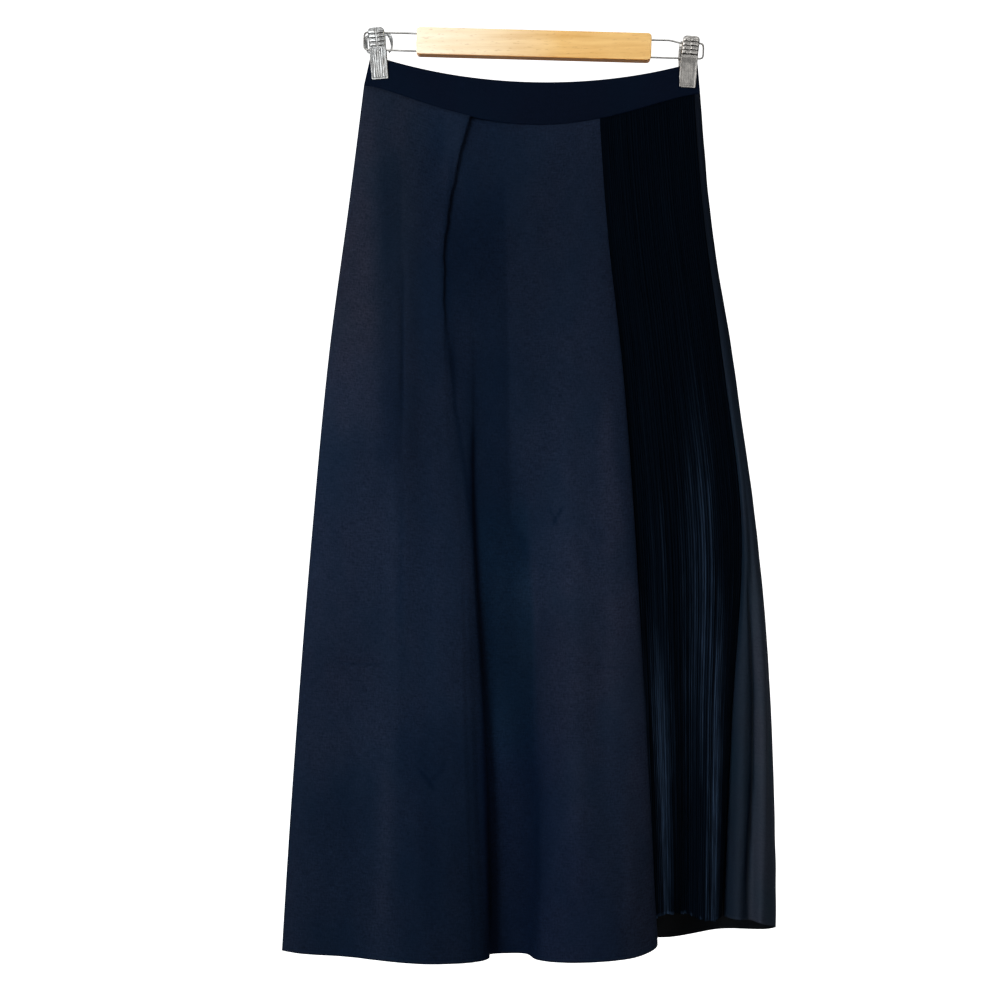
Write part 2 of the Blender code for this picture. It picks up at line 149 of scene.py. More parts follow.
FRONT_MARKS = (
    # press crease across the knee
    Mark(KNEE_CREASE_RIGHT, 1.5, -0.5, 14),
    Mark(((48, -679), (80, -680), (106, -678.5)), 1.8, 0.35, 14),
    Mark(KNEE_CREASE_LEFT, 1.6, -0.4, 16),
    # crinkles
    Mark(((31, -507), (24, -519), (17, -530)), 2.2, -0.8, 8),
    Mark(((35, -505), (28, -519), (21, -532)), 2.6, 0.5, 8),
    Mark(LOW_CRINKLE, 2.4, -0.7, 9),
    Mark(((-121, -778), (-109, -791), (-100, -804)), 2.6, 0.4, 9),
    Mark(((-38, -955), (-33, -957), (-28, -957)), 1.6, 0.5, 4),
    # soft crease down the left and its low shoulder
    Mark(((-138, -175), (-140, -300), (-139, -420), (-141, -560), (-143, -690)), 5.0, -1.1, 80),
    Mark(((-147, -230), (-149, -400), (-150, -600)), 8.0, 0.7, 90),
    # right border of the valley
    Mark(((-31, -270), (-25, -400), (-24, -540), (-2, -570), (-1, -740)), 5.0, -0.9, 60),
    # long soft pulls from the waist
    Mark(((-120, -115), (-128, -190), (-131, -260)), 7.0, 0.5, 40),
    Mark(((4, -135), (-2, -230), (-4, -330)), 9.0, 0.6, 60),
    Mark(((42, -135), (52, -260), (62, -420)), 10.0, -0.5, 90),
    Mark(((-170, -95), (-192, -220), (-207, -380)), 9.0, -0.5, 90),
    Mark(((60, -560), (72, -720), (78, -930)), 12.0, -0.9, 110),
    Mark(((-188, -620), (-196, -780), (-205, -960)), 12.0, -0.8, 110),
    Mark(((15, -740), (24, -850), (30, -975)), 8.0, 0.9, 70),
    # the long ridge whose right side turns away from the light, and the dip beside it
    Mark(((-139, -150), (-141, -300), (-140, -450), (-142, -620), (-147, -780)), 12.0, 3.4, 120),
    Mark(((-117, -190), (-119, -330), (-116, -520), (-112, -700), (-108, -860)), 11.0, -1.7, 120),
    Mark(((-140, -270), (-139, -340), (-139.5, -430)), 1.8, -1.0, 45),
    # the rounded crest right of the valley and the fall beyond it
    Mark(((32, -330), (38, -480), (43, -620), (44, -800), (42, -960)), 13.0, 2.2, 130),
    Mark(((10, -560), (14, -700), (8, -880), (4, -975)), 7.0, -1.2, 90),
    # slack that gathers in the low left and below the knee crease
    Mark(((-150, -790), (-142, -880), (-138, -975)), 9.0, -1.4, 70),
    Mark(((-98, -800), (-92, -890), (-86, -975)), 10.0, 1.3, 80),
    Mark(((-235, -560), (-243, -760), (-252, -960)), 8.0, 1.0, 110),
    Mark(((88, -760), (98, -870), (106, -975)), 9.0, 1.2, 80),
    Mark(((-60, -130), (-62, -200), (-60, -300)), 8.0, 0.7, 60),
)

# Lines of painted shade, written as marks whose depth is the share of brightness lost, or
# of painted light gained where it is negative
FOLD_SHADOW = ((-65, -400), (-66, -480), (-62, -570), (-55, -690), (-50, -850), (-46, -990))
FRONT_PAINTED_SHADING_LINES = (
    Mark(((-139.5, -230), (-139, -330), (-139.5, -440)), 1.6, 0.30, 60),
    Mark(((-140, -440), (-141, -560), (-143, -680)), 2.6, 0.16, 90),
    Mark(((-88, -300), (-84, -400), (-72, -480), (-65, -560)), 3.0, 0.36, 60),
    Mark(FOLD_SHADOW, 3.2, 0.66, 60),
    Mark(((-50, -760), (-48, -850), (-45, -990)), 2.6, 0.16, 90),
    Mark(((-57, -520), (-47, -690), (-41, -850), (-36, -990)), 6.0, 0.06, 90),
    Mark(((-70, -850), (-66, -920), (-62, -990)), 7.0, 0.14, 60),
    Mark(((-86, -120), (-95, -250), (-92, -330), (-83, -400)), 4.0, 0.34, 50),
    Mark(((20, -820), (28, -900), (34, -990)), 30.0, 0.04, 110),
    Mark(((-112, -760), (-110, -870), (-107, -990)), 9.0, 0.19, 80),
    Mark(((-152, -740), (-155, -840), (-158, -960)), 8.0, -0.18, 90),
    Mark(((-173, -760), (-176, -860), (-180, -980)), 8.0, 0.09, 60),
    Mark(((43, -745), (44, -800), (44, -865)), 13.0, -0.17, 40),
    Mark(((66, -560), (80, -800), (92, -980)), 14.0, -0.05, 130),
    Mark(((-29, -960), (-33, -961), (-39, -960)), 2.4, -0.5, 4),
    # painted shade in the press crease and the crinkles
    Mark(KNEE_CREASE_RIGHT, 1.4, 0.26, 14),
    Mark(KNEE_CREASE_LEFT, 1.5, 0.17, 16),
    Mark(((31, -505), (24, -519), (16, -532)), 1.9, 0.40, 8),
    Mark(((12, -505), (19, -517), (25, -530)), 1.7, 0.20, 8),
    Mark(LOW_CRINKLE, 2.0, 0.30, 9),
    Mark(((-92, -770), (-101, -788), (-112, -800)), 1.9, 0.20, 9),
)

# Broad soft zones of painted shade and light: heights, left and right border at each, softness of
# the two borders, length over which the ends fade, and the share of brightness lost or gained
Zone = namedtuple("Zone", "heights left right soft fade loss")

VALLEY_HEIGHTS = (-224, -330, -463, -520, -545, -620, -740, -830, -990)
VALLEY_LEFT = (-96, -88, -70, -66, -64, -60, -50, -46, -44)
VALLEY_RIGHT = (-30, -28, -27, -25, -7, -1, -1, 6, 6)
CREST_HEIGHTS = (-150, -330, -480, -620, -740)
CREST_LEFT = (-139, -139, -139, -141, -143)
CREST_RIGHT = (-96, -88, -70, -62, -56)
FRONT_PAINTED_SHADING_ZONES = (
    Zone(CREST_HEIGHTS, CREST_LEFT, CREST_RIGHT, (3, 5), 90, 0.09),
    Zone((-130, -230, -330), (-122, -122, -118), (-95, -97, -92), (12, 3), 70, 0.13),
    Zone(VALLEY_HEIGHTS, VALLEY_LEFT, VALLEY_RIGHT, (2, 3), 90, 0.21),
    Zone((-105, -180, -250), (-72, -88, -92), (-4, -20, -26), (4, 24), 80, 0.17),
    Zone((-190, -300, -430), (-168, -163, -160), (-141, -140, -140), (12, 3), 90, 0.27),
    Zone((-780, -860, -990), (-143, -145, -148), (-50, -46, -44), (17, 5), 80, 0.26),
    Zone((-755, -820, -990), (-43, -40, -38), (-22, -8, -8), (3, 14), 80, -0.43),
    Zone((-830, -900, -990), (-240, -244, -250), (-184, -180, -178), (20, 16), 60, 0.19),
    Zone((-450, -545, -740), (-24, -6, 0), (66, 76, 90), (7, 22), 80, -0.10),
    Zone((-380, -520, -700), (-232, -240, -250), (-146, -148, -150), (20, 8), 120, -0.08),
    Zone((-430, -520, -700), (68, 72, 74), (82, 94, 118), (8, 6), 60, -0.27),
    Zone((-740, -860, -990), (92, 94, 96), (124, 130, 134), (8, 6), 60, -0.25),
    Zone((-598, -640, -690), (-46, -44, -42), (112, 116, 120), (6, 8), 36, -0.12),
    Zone((-592, -625, -660), (-20, -20, -20), (2, 3, 3), (10, 4), 36, -0.24),
    Zone((-90, -250, -400), (-225, -240, -246), (-172, -168, -166), (20, 14), 60, -0.30),
)

# Painted light and shade: share of brightness kept at heights down the front
PAINTED_LIGHT_HEIGHTS = (-1000, -921, -837, -753, -669, -585, -500, -417, -333, -250, -166, -82, -40)
PAINTED_LIGHT_SHARES = (0.82, 0.84, 0.89, 0.94, 0.92, 1.04, 1.00, 0.93, 0.89, 0.82, 0.85, 0.97, 0.99)

# Zones of red, green and blue in which painted shade and light tint the cloth, teal in
# the shaded valley and redder at the lit upper left
SHADED_VALLEY_TINT = Zone((-545, -620, -740), (-60, -56, -50), (-7, -1, -1), (4, 6), 70, 0.20)
LIT_UPPER_LEFT_TINT = Zone((-60, -180, -300), (-240, -240, -240), (-118, -124, -136), (4, 20), 90, -0.36)
FRONT_PAINTED_TINTS = (
    (
        SHADED_VALLEY_TINT,
        Zone((-520, -600, -720), (-246, -250, -254), (-190, -186, -184), (20, 20), 80, -0.06),
        Zone((-640, -700, -760), (0, 2, 4), (30, 34, 36), (6, 12), 50, -0.10),
        LIT_UPPER_LEFT_TINT,
    ),
    (
        SHADED_VALLEY_TINT._replace(loss=-0.13),
        LIT_UPPER_LEFT_TINT._replace(loss=-0.14),
    ),
    (
        SHADED_VALLEY_TINT._replace(loss=-0.10),
        Zone((-800, -880, -990), (-60, -56, -52), (30, 60, 90), (8, 30), 90, -0.12),
    ),
)

# The hidden back hangs with the same kind of soft creases
BACK_MARKS = (
    Mark(BACK_CREASE_LEFT, 9.0, -2.2, 110),
    Mark(((-40, -400), (-48, -620), (-52, -800), (-56, -970)), 11.0, 2.8, 120),
    Mark(((34, -120), (38, -260), (40, -430)), 8.0, 0.8, 80),
    Mark(BACK_CREASE_RIGHT, 10.0, -2.6, 120),
    Mark(((52, -520), (56, -700), (52, -880), (48, -975)), 12.0, 2.6, 120),
    Mark(((150, -330), (168, -520), (180, -720), (186, -950)), 9.0, 1.3, 110),
    Mark(((-150, -300), (-168, -500), (-186, -720), (-196, -960)), 10.0, 1.5, 120),
    Mark(BACK_CREASE_LOW, 8.0, -1.6, 100),
    Mark(((-96, -674), (-60, -676), (-20, -675)), 1.6, -0.4, 14),
    Mark(((24, -675), (60, -677), (110, -676)), 1.6, -0.45, 16),
    Mark(((-18, -742), (-8, -756), (2, -766)), 2.4, -0.7, 9),
    Mark(((-14, -740), (-4, -754), (6, -764)), 2.6, 0.4, 9),
)

# Lines of painted shade along the back's creases
BACK_PAINTED_SHADE_LINES = (
    Mark(BACK_CREASE_LEFT, 4.0, 0.20, 110),
    Mark(BACK_CREASE_RIGHT, 5.0, 0.22, 120),
    Mark(BACK_CREASE_LOW, 4.0, 0.18, 100),
    Mark(((38, -150), (40, -300), (42, -430)), 3.0, 0.12, 80),
    Mark(((-20, -640), (-26, -800), (-30, -975)), 6.0, 0.14, 120),
)


def smooth(knots, values, at):
    """A smooth curve through the values, read at one place or at many."""
    knots = np.asarray(knots, float)
    values = np.asarray(values, float)
    widths = np.diff(knots)
    rises = np.diff(values) / widths
    slopes = np.empty(len(values))
    slopes[1:-1] = (rises[:-1] * widths[1:] + rises[1:] * widths[:-1]) / (widths[:-1] + widths[1:])
    slopes[0] = 2 * rises[0] - slopes[1]
    slopes[-1] = 2 * rises[-1] - slopes[-2]
    at = np.asarray(at, float)
    span = np.clip(np.searchsorted(knots, at, side="right") - 1, 0, len(widths) - 1)
    t = (at - knots[span]) / widths[span]
    start = (1 + 2 * t) * (1 - t) ** 2 * values[span]
    start_slope = t * (1 - t) ** 2 * widths[span] * slopes[span]
    end = t * t * (3 - 2 * t) * values[span + 1]
    end_slope = t * t * (t - 1) * widths[span] * slopes[span + 1]
    return start + start_slope + end + end_slope


def ease(value, low, high):
    """From 0 at low to 1 at high, level at both ends."""
    t = np.clip((np.asarray(value, float) - low) / (high - low), 0.0, 1.0)
    return t * t * (3 - 2 * t)


def across(x):
    """Where x lies between the band's ends, from -1 at the left to 1 at the right."""
    middle = (BAND_SEAM_X[0] + BAND_SEAM_X[1]) / 2
    half = (BAND_SEAM_X[1] - BAND_SEAM_X[0]) / 2
    return np.clip((np.asarray(x) - middle) / half, -1.0, 1.0)


def band_edge(share, ends, dip, shape):
    """Height of a waistband edge that hangs between its two ends."""
    chord = ends[0] + (ends[1] - ends[0]) * (share + 1) / 2
    return chord - dip * (1 - share * share) ** shape


def seam_height(x):
    """Height of the seam under the waistband."""
    return band_edge(across(x), BAND_SEAM_Z, BAND_SEAM_DIP, BAND_SEAM_SHAPE)


def stations(lines):
    """Places across the cloth, counted in lines, at which its columns of points lie."""
    parts = [i + np.arange(line.steps) / line.steps for i, line in enumerate(lines[:-1])]
    return np.concatenate(parts + [[len(lines) - 1.0]])


def plan_row(lines, level, steps):
    """The cloth's path seen from above at one level, as columns of x, y and hem height."""
    x = np.array([smooth(X_LEVELS, line.x, level) for line in lines]) * MM
    y = np.array([smooth(Y_LEVELS, line.y, level) for line in lines]) * MM
    hem = np.array([line.hem for line in lines]) * MM
    knots = np.concatenate(([0.0], np.cumsum(np.sqrt(np.hypot(np.diff(x), np.diff(y))))))
    at = np.interp(steps, np.arange(len(lines)), knots)
    return np.column_stack([smooth(knots, column, at) for column in (x, y, hem)])


def cloth_grid(lines, levels, steps):
    """Points of the cloth's middle, by row from the waist seam to the hem and by column."""
    grid = []
    top = None
    for level in levels:
        row = plan_row(lines, level, steps)
        if top is None:
            top = seam_height(row[:, 0]) + SEAM_TUCK
        height = top + (row[:, 2] - top) * level
        grid.append(np.column_stack((row[:, 0], row[:, 1], height)))
    return np.array(grid)


def outward(grid):
    """Unit normals of the cloth, away from the wearer."""
    over = np.gradient(grid, axis=1)
    down = np.gradient(grid, axis=0)
    normal = np.cross(down, over)
    return normal / np.maximum(np.linalg.norm(normal, axis=2, keepdims=True), 1e-12)


def mark_height(grid, marks):
    """Height in metres that the marks add at each point, measured in the front view."""
    x = grid[..., 0] / MM
    z = grid[..., 2] / MM
    total = np.zeros(x.shape)
    for mark in marks:
        path = np.array(mark.path, float)
        pieces = np.hypot(*np.diff(path, axis=0).T)
        starts = np.concatenate(([0.0], np.cumsum(pieces)))
        near = np.full(x.shape, 1e9)
        along = np.zeros(x.shape)
        for (x0, z0), (x1, z1), size, start in zip(path, path[1:], pieces, starts):
            share = ((x - x0) * (x1 - x0) + (z - z0) * (z1 - z0)) / size ** 2
            held = np.clip(share, 0.0, 1.0)
            gap = np.hypot(x - x0 - held * (x1 - x0), z - z0 - held * (z1 - z0))
            closer = gap < near
            near = np.where(closer, gap, near)
            along = np.where(closer, start + held * size, along)
        fade = ease(along, 0, mark.fade) * ease(starts[-1] - along, 0, mark.fade)
        total += mark.depth * fade * np.exp(-((near / mark.width) ** 2))
    return total * MM


def zone_loss(grid, zones):
    """Share of brightness lost at each point to the broad zones."""
    x = grid[..., 0] / MM
    z = grid[..., 2] / MM
    total = np.zeros(x.shape)
    for zone in zones:
        heights = np.array(zone.heights, float)[::-1]
        left = np.interp(z, heights, zone.left[::-1])
        right = np.interp(z, heights, zone.right[::-1])
        inside = ease(x, left - zone.soft[0], left + zone.soft[0])
        inside = inside * (1 - ease(x, right - zone.soft[1], right + zone.soft[1]))
        inside = inside * ease(z, heights[0] - zone.fade, heights[0])
        inside = inside * (1 - ease(z, heights[-1], heights[-1] + zone.fade))
        total += zone.loss * inside
    return total


def ripple(u, v, seed, waves, long_u, long_v):
    """Uneven small waves: a sum of sines of seeded lengths, directions and starts."""
    draw = np.random.default_rng(seed)
    total = np.zeros(np.broadcast(u, v).shape)
    for _ in range(waves):
        turns_u = draw.uniform(-1.0, 1.0) / long_u
        turns_v = draw.uniform(-1.0, 1.0) / long_v
        start = draw.uniform(0, 2 * math.pi)
        total += np.sin(2 * math.pi * (turns_u * u + turns_v * v) + start)
    return total / math.sqrt(waves)


def arc_places(grid, middle):
    """Place of each point in the flat cloth, in metres across from one column and down."""
    over = np.linalg.norm(np.diff(grid, axis=1), axis=2)
    u = np.concatenate((np.zeros((len(grid), 1)), np.cumsum(over, axis=1)), axis=1)
    u -= u[:, middle:middle + 1]
    down = np.linalg.norm(np.diff(grid, axis=0), axis=2).mean(axis=1)
    v = np.concatenate(([0.0], np.cumsum(down)))
    return u, np.broadcast_to(v[:, None], u.shape)


def chord_depth(path):
    """How far each point of a plan path lies behind the tight string round its front."""
    order = np.argsort(path[:, 0], kind="stable")
    x, y = path[order, 0], path[order, 1]
    hull = []
    for point in zip(x, y):
        while len(hull) > 1:
            (x0, y0), (x1, y1) = hull[-2:]
            if (x1 - x0) * (point[1] - y0) - (y1 - y0) * (point[0] - x0) <= 0:
                hull.pop()
            else:
                break
        hull.append(point)
    hull = np.array(hull)
    return np.maximum(path[:, 1] - np.interp(path[:, 0], hull[:, 0], hull[:, 1]), 0.0)


# Painted shade and light are kept in the mesh's Tone colours
def add_painted_light(mesh, tone, powers=(1.5, 1.0, 0.75), inside=1.0, even=1.0, hue=(1.0, 1.0, 1.0)):
    """Keep a share of brightness with each point of both sides of a shell.

    Red falls faster than blue, so painted shade turns bluer as in the deep folds of navy cloth,
    and the side towards the wearer, which little light reaches, keeps the share inside of that
    as painted shade. The share even holds for all colours alike, and hue holds a share for
    each of the three.
    """
    parts = [tone ** power * even * share for power, share in zip(powers, hue)]
    colours = np.stack(parts + [np.ones(tone.shape)], axis=-1).reshape(-1, 4)
    colours = np.concatenate((colours, colours * (inside, inside, inside, 1.0)))
    layer = mesh.color_attributes.new("Tone", "FLOAT_COLOR", "POINT")
    layer.data.foreach_set("color", colours.astype(np.float32).ravel())


def add_piece(name, mesh, material, node):
    """An object that rides on the body, stands for a CAD node and takes a slot's finish."""
    piece = bpy.data.objects.new(name, mesh)
    bpy.context.scene.collection.objects.link(piece)
    mesh.materials.append(material)
    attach(piece, "root")
    if node:
        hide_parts(*node)
    return piece


def shell_mesh(name, grid, outer, inner, places):
    """A closed thin shell round the grid: outer and inner are its distances from the grid.

    The map Cloth holds places in the flat cloth. The map OFBake lays the outer side, the
    inner side and the four edges apart from each other.
    """
    rows, columns = grid.shape[:2]
    normal = outward(grid)
    front = grid + normal * np.asarray(outer)[..., None]
    back = grid - normal * np.asarray(inner)[..., None]
    points = np.concatenate((front.reshape(-1, 3), back.reshape(-1, 3)))
    number = np.arange(rows * columns).reshape(rows, columns)
    other = number + rows * columns
    u, v = places
    flat = np.stack((u, v), axis=2).reshape(-1, 2)
    flat = np.concatenate((flat, flat))
    across_share = np.broadcast_to(np.linspace(0, 1, columns), (rows, columns))
    down_share = np.broadcast_to(np.linspace(1, 0, rows)[:, None], (rows, columns))
    block = np.stack((0.004 + 0.49 * across_share, 0.04 + 0.956 * down_share), axis=2)
    lay = np.concatenate((block.reshape(-1, 2), (block + (0.5, 0.0)).reshape(-1, 2)))

    faces, cloth_uv, bake_uv = [], [], []

    def add(quads, bake=None):
        faces.append(quads)
        cloth_uv.append(flat[quads])
        bake_uv.append(lay[quads] if bake is None else bake)

    def quads_of(index, flip):
        a, b = index[:-1, :-1].ravel(), index[1:, :-1].ravel()
        c, d = index[1:, 1:].ravel(), index[:-1, 1:].ravel()
        return np.stack((a, d, c, b) if flip else (a, b, c, d), axis=1)

    add(quads_of(number, False))
    add(quads_of(other, True))
    edges = (
        (number[0], other[0], True),
        (number[-1], other[-1], False),
        (number[:, 0], other[:, 0], False),
        (number[:, -1], other[:, -1], True),
    )
    for k, (line, far, flip) in enumerate(edges):
        a, b, c, d = line[:-1], far[:-1], far[1:], line[1:]
        share = np.linspace(0.004, 0.996, len(line))
        low = np.full(len(a), 0.002 + 0.009 * k)
        high = low + 0.006
        corner = [(share[:-1], low), (share[:-1], high), (share[1:], high), (share[1:], low)]
        order = (a, b, c, d)
        if flip:
            order = order[::-1]
            corner = corner[::-1]
        bake = np.stack([np.stack(pair, axis=1) for pair in corner], axis=1)
        add(np.stack(order, axis=1), bake)
    return quad_mesh(name, points, faces, {"Cloth": cloth_uv, "OFBake": bake_uv})


def quad_mesh(name, points, faces, maps):
    """A smooth mesh of four-sided faces with its UV maps."""
    quads = np.concatenate(faces)
    mesh = bpy.data.meshes.new(name)
    mesh.from_pydata(points.tolist(), [], quads.tolist())
    for label, parts in maps.items():
        layer = mesh.uv_layers.new(name=label)
        layer.uv.foreach_set("vector", np.concatenate(parts).astype(np.float32).ravel())
    mesh.shade_smooth()
    return mesh


# Materials


def new_material(name):
    """An empty node material, its Principled shader and a function that adds nodes."""
    material = bpy.data.materials.new(name)
    material.use_nodes = True
    tree = material.node_tree
    shader = tree.nodes["Principled BSDF"]

    def node(kind, settings=None, **inputs):
        made = tree.nodes.new(kind)
        for key, value in (settings or {}).items():
            setattr(made, key, value)
        for key, value in inputs.items():
            numbered = key.startswith("in") and key[2:].isdigit()
            socket = made.inputs[int(key[2:]) if numbered else key]
            if isinstance(value, bpy.types.NodeSocket):
                tree.links.new(value, socket)
            else:
                socket.default_value = value
        return made

    return material, tree, shader, node


def srgb(red, green, blue):
    """A colour given in display values from 0 to 255."""
    shares = [value / 255 for value in (red, green, blue)]
    return (*(s / 12.92 if s <= 0.04045 else ((s + 0.055) / 1.055) ** 2.4 for s in shares), 1.0)


def scaled(node, vector, scale):
    """The vector times a scale on each axis."""
    made = node("ShaderNodeMapping", {"vector_type": "POINT"}, Vector=vector, Scale=scale)
    return made.outputs[0]


def mixed(node, factor, first, second, way="MIX"):
    """Two colours mixed by a factor."""
    settings = {"data_type": "RGBA", "blend_type": way}
    return node("ShaderNodeMix", settings, in0=factor, in6=first, in7=second).outputs[2]


def summed(node, first, second, way="ADD"):
    """Two numbers put together."""
    return node("ShaderNodeMath", {"operation": way}, in0=first, in1=second).outputs[0]


def noise(node, vector, detail=2.0, rough=0.5):
    """A noise of scale 1 over the vector."""
    made = node("ShaderNodeTexNoise", Vector=vector, Scale=1.0, Detail=detail, Roughness=rough)
    return made.outputs["Fac"]


def spread(node, value, low, high):
    """The value from low to high drawn out to 0 to 1."""
    made = node("ShaderNodeMapRange", {"clamp": True}, in0=value, in1=low, in2=high)
    return made.outputs[0]


# Waves of the weave to a metre
WEAVE_SCALE = 700

Cloth = namedtuple("Cloth", "dark light tint slub rough specular bump hollows")


def cloth_material(name, cloth):
    """Woven cloth: threads both ways, uneven thick yarns and slow changes of tone."""
    material, tree, shader, node = new_material(name)
    place = node("ShaderNodeUVMap", {"uv_map": "Cloth"}).outputs[0]
    weft = noise(node, scaled(node, place, (110, 700, 1)), 3.0, 0.6)
    warp = noise(node, scaled(node, place, (900, 160, 1)), 3.0, 0.6)
    speck = noise(node, scaled(node, place, (420, 420, 1)), 2.0, 0.6)
    tone = noise(node, scaled(node, place, (7, 4, 1)), 2.0, 0.5)
    hue = noise(node, scaled(node, place, (16, 9, 1)), 3.0, 0.5)
    yarn = summed(node, summed(node, weft, warp), speck)
    yarn = spread(node, yarn, 1.5 - cloth.slub, 1.5 + cloth.slub)
    base = mixed(node, yarn, cloth.dark, cloth.light)
    hued = mixed(node, spread(node, hue, 0.42, 0.62), base, cloth.tint)
    lit = node("ShaderNodeMapRange", in0=tone, in1=0.3, in2=0.7, in3=0.87, in4=1.13).outputs[0]
    coloured = mixed(node, 0.4, base, hued)
    scaled_tone = node("ShaderNodeCombineColor", Red=lit, Green=lit, Blue=lit).outputs[0]
    colour = mixed(node, 1.0, coloured, scaled_tone, "MULTIPLY")
    # painted shade and light, stored in the mesh's Tone colours
    if cloth.hollows:
        painted_light = node("ShaderNodeVertexColor", {"layer_name": "Tone"}).outputs[0]
        colour = mixed(node, 1.0, colour, painted_light, "MULTIPLY")
    tree.links.new(colour, shader.inputs["Base Color"])
    threads = scaled(node, place, (WEAVE_SCALE, WEAVE_SCALE, 1))
    checker = []
    for axis in ("X", "Y"):
        wave = node(
            "ShaderNodeTexWave",
            {"wave_type": "BANDS", "bands_direction": axis, "wave_profile": "SIN"},
            Vector=threads,
            Scale=1.0,
            Distortion=0.6,
            Detail=1.0,
        )
        checker.append(wave.outputs["Fac"])
    weave = summed(node, checker[0], checker[1], "MULTIPLY")
    relief = summed(node, weave, yarn)
    bump = node("ShaderNodeBump", Strength=cloth.bump, Distance=0.0003, Height=relief)
    tree.links.new(bump.outputs[0], shader.inputs["Normal"])
    wear_and_sheen = cloth.rough - 0.08
    rough = node("ShaderNodeMapRange", in0=yarn, in1=0.0, in2=1.0, in3=cloth.rough, in4=wear_and_sheen)
    tree.links.new(rough.outputs[0], shader.inputs["Roughness"])
    shader.inputs["Specular IOR Level"].default_value = cloth.specular
    return material


WOOL = Cloth(
    dark=srgb(9.5, 16.6, 30),
    light=srgb(24.3, 34, 52),
    tint=srgb(11, 26, 43),
    slub=0.40,
    rough=0.95,
    specular=0.05,
    bump=0.3,
    hollows=True,
)
CREPE = WOOL._replace(
    dark=srgb(11, 18, 28),
    light=srgb(24, 33, 45),
    tint=srgb(11, 27, 38),
    rough=0.6,
    specular=0.08,
    slub=0.6,
    bump=0.15,
)
BAND = WOOL._replace(
    dark=srgb(2, 7, 18),
    light=srgb(7, 14, 30),
    tint=srgb(3, 13, 27),
    rough=0.8,
    slub=0.6,
    specular=0.03,
    bump=0.12,
    hollows=False,
)


def satin_material():
    """Dark pleated satin, black above, with painted highlights on its pleat crests lower down."""
    material, tree, shader, node = new_material("pleated_satin")
    place = node("ShaderNodeUVMap", {"uv_map": "Cloth"}).outputs[0]
    streak = noise(node, scaled(node, place, (900, 14, 1)), 3.0, 0.6)
    fine = noise(node, scaled(node, place, (1600, 90, 1)), 2.0, 0.6)
    wear_and_sheen = noise(node, scaled(node, place, (260, 22, 1)), 2.0, 0.6)
    # painted highlights, read from the mesh's Tone colours and made uneven by streaks
    gleam = node("ShaderNodeVertexColor", {"layer_name": "Tone"}).outputs[0]
    gleam = node("ShaderNodeSeparateColor", Color=gleam).outputs[0]
    uneven = summed(node, spread(node, wear_and_sheen, 0.32, 0.68), spread(node, streak, 0.3, 0.7))
    lit = summed(node, gleam, uneven, "MULTIPLY")
    dark = mixed(node, spread(node, streak, 0.35, 0.65), srgb(1, 3, 7), srgb(2, 6, 13))
    colour = mixed(node, lit, dark, srgb(50, 68, 92))
    tree.links.new(colour, shader.inputs["Base Color"])
    rough = node("ShaderNodeMapRange", in0=fine, in1=0.3, in2=0.7, in3=0.42, in4=0.58)
    tree.links.new(rough.outputs[0], shader.inputs["Roughness"])
    bump = node("ShaderNodeBump", Strength=0.12, Distance=0.0003, Height=fine)
    tree.links.new(bump.outputs[0], shader.inputs["Normal"])
    shader.inputs["Specular IOR Level"].default_value = 0.006
    return material


def wood_material():
    """Lacquered beech: long grain, short dark flecks, a painted highlight that pales the left end
    and painted shade on the underside.
    """
    material, tree, shader, node = new_material("beech")
    place = node("ShaderNodeTexCoord").outputs["Object"]
    grain = noise(node, scaled(node, place, (9, 260, 170)), 4.0, 0.6)
    fleck = noise(node, scaled(node, place, (130, 900, 700)), 2.0, 0.6)
    cloud = noise(node, scaled(node, place, (22, 60, 60)), 2.0, 0.5)
    along = node("ShaderNodeSeparateXYZ", Vector=place).outputs[0]
    # painted highlight: the left end pales towards cream
    painted_glare = spread(node, along, -0.125, 0.03)
    pale = mixed(node, painted_glare, srgb(252, 244, 222), srgb(233, 191, 121))
    deep = mixed(node, painted_glare, srgb(246, 230, 196), srgb(213, 161, 87))
    veins = spread(node, summed(node, grain, summed(node, cloud, 0.5, "MULTIPLY")), 0.55, 0.95)
    colour = mixed(node, veins, pale, deep)
    spots = summed(node, spread(node, fleck, 0.6, 0.72), 0.35, "MULTIPLY")
    colour = mixed(node, spots, colour, srgb(176, 118, 58))
    # painted shade: the underside turns a deeper orange
    facing = node("ShaderNodeNewGeometry").outputs["Normal"]
    facing = node("ShaderNodeSeparateXYZ", Vector=facing).outputs[2]
    under = node("ShaderNodeMapRange", in0=facing, in1=-0.2, in2=-0.9, in3=0.0, in4=0.95).outputs[0]
    colour = mixed(node, under, colour, srgb(222, 136, 4))
    tree.links.new(colour, shader.inputs["Base Color"])
    rough = node("ShaderNodeMapRange", in0=fleck, in1=0.3, in2=0.7, in3=0.32, in4=0.46)
    tree.links.new(rough.outputs[0], shader.inputs["Roughness"])
    bump = node("ShaderNodeBump", Strength=0.15, Distance=0.0002, Height=grain)
    tree.links.new(bump.outputs[0], shader.inputs["Normal"])
    shader.inputs["Coat Weight"].default_value = 0.2
    shader.inputs["Coat Roughness"].default_value = 0.25
    return material


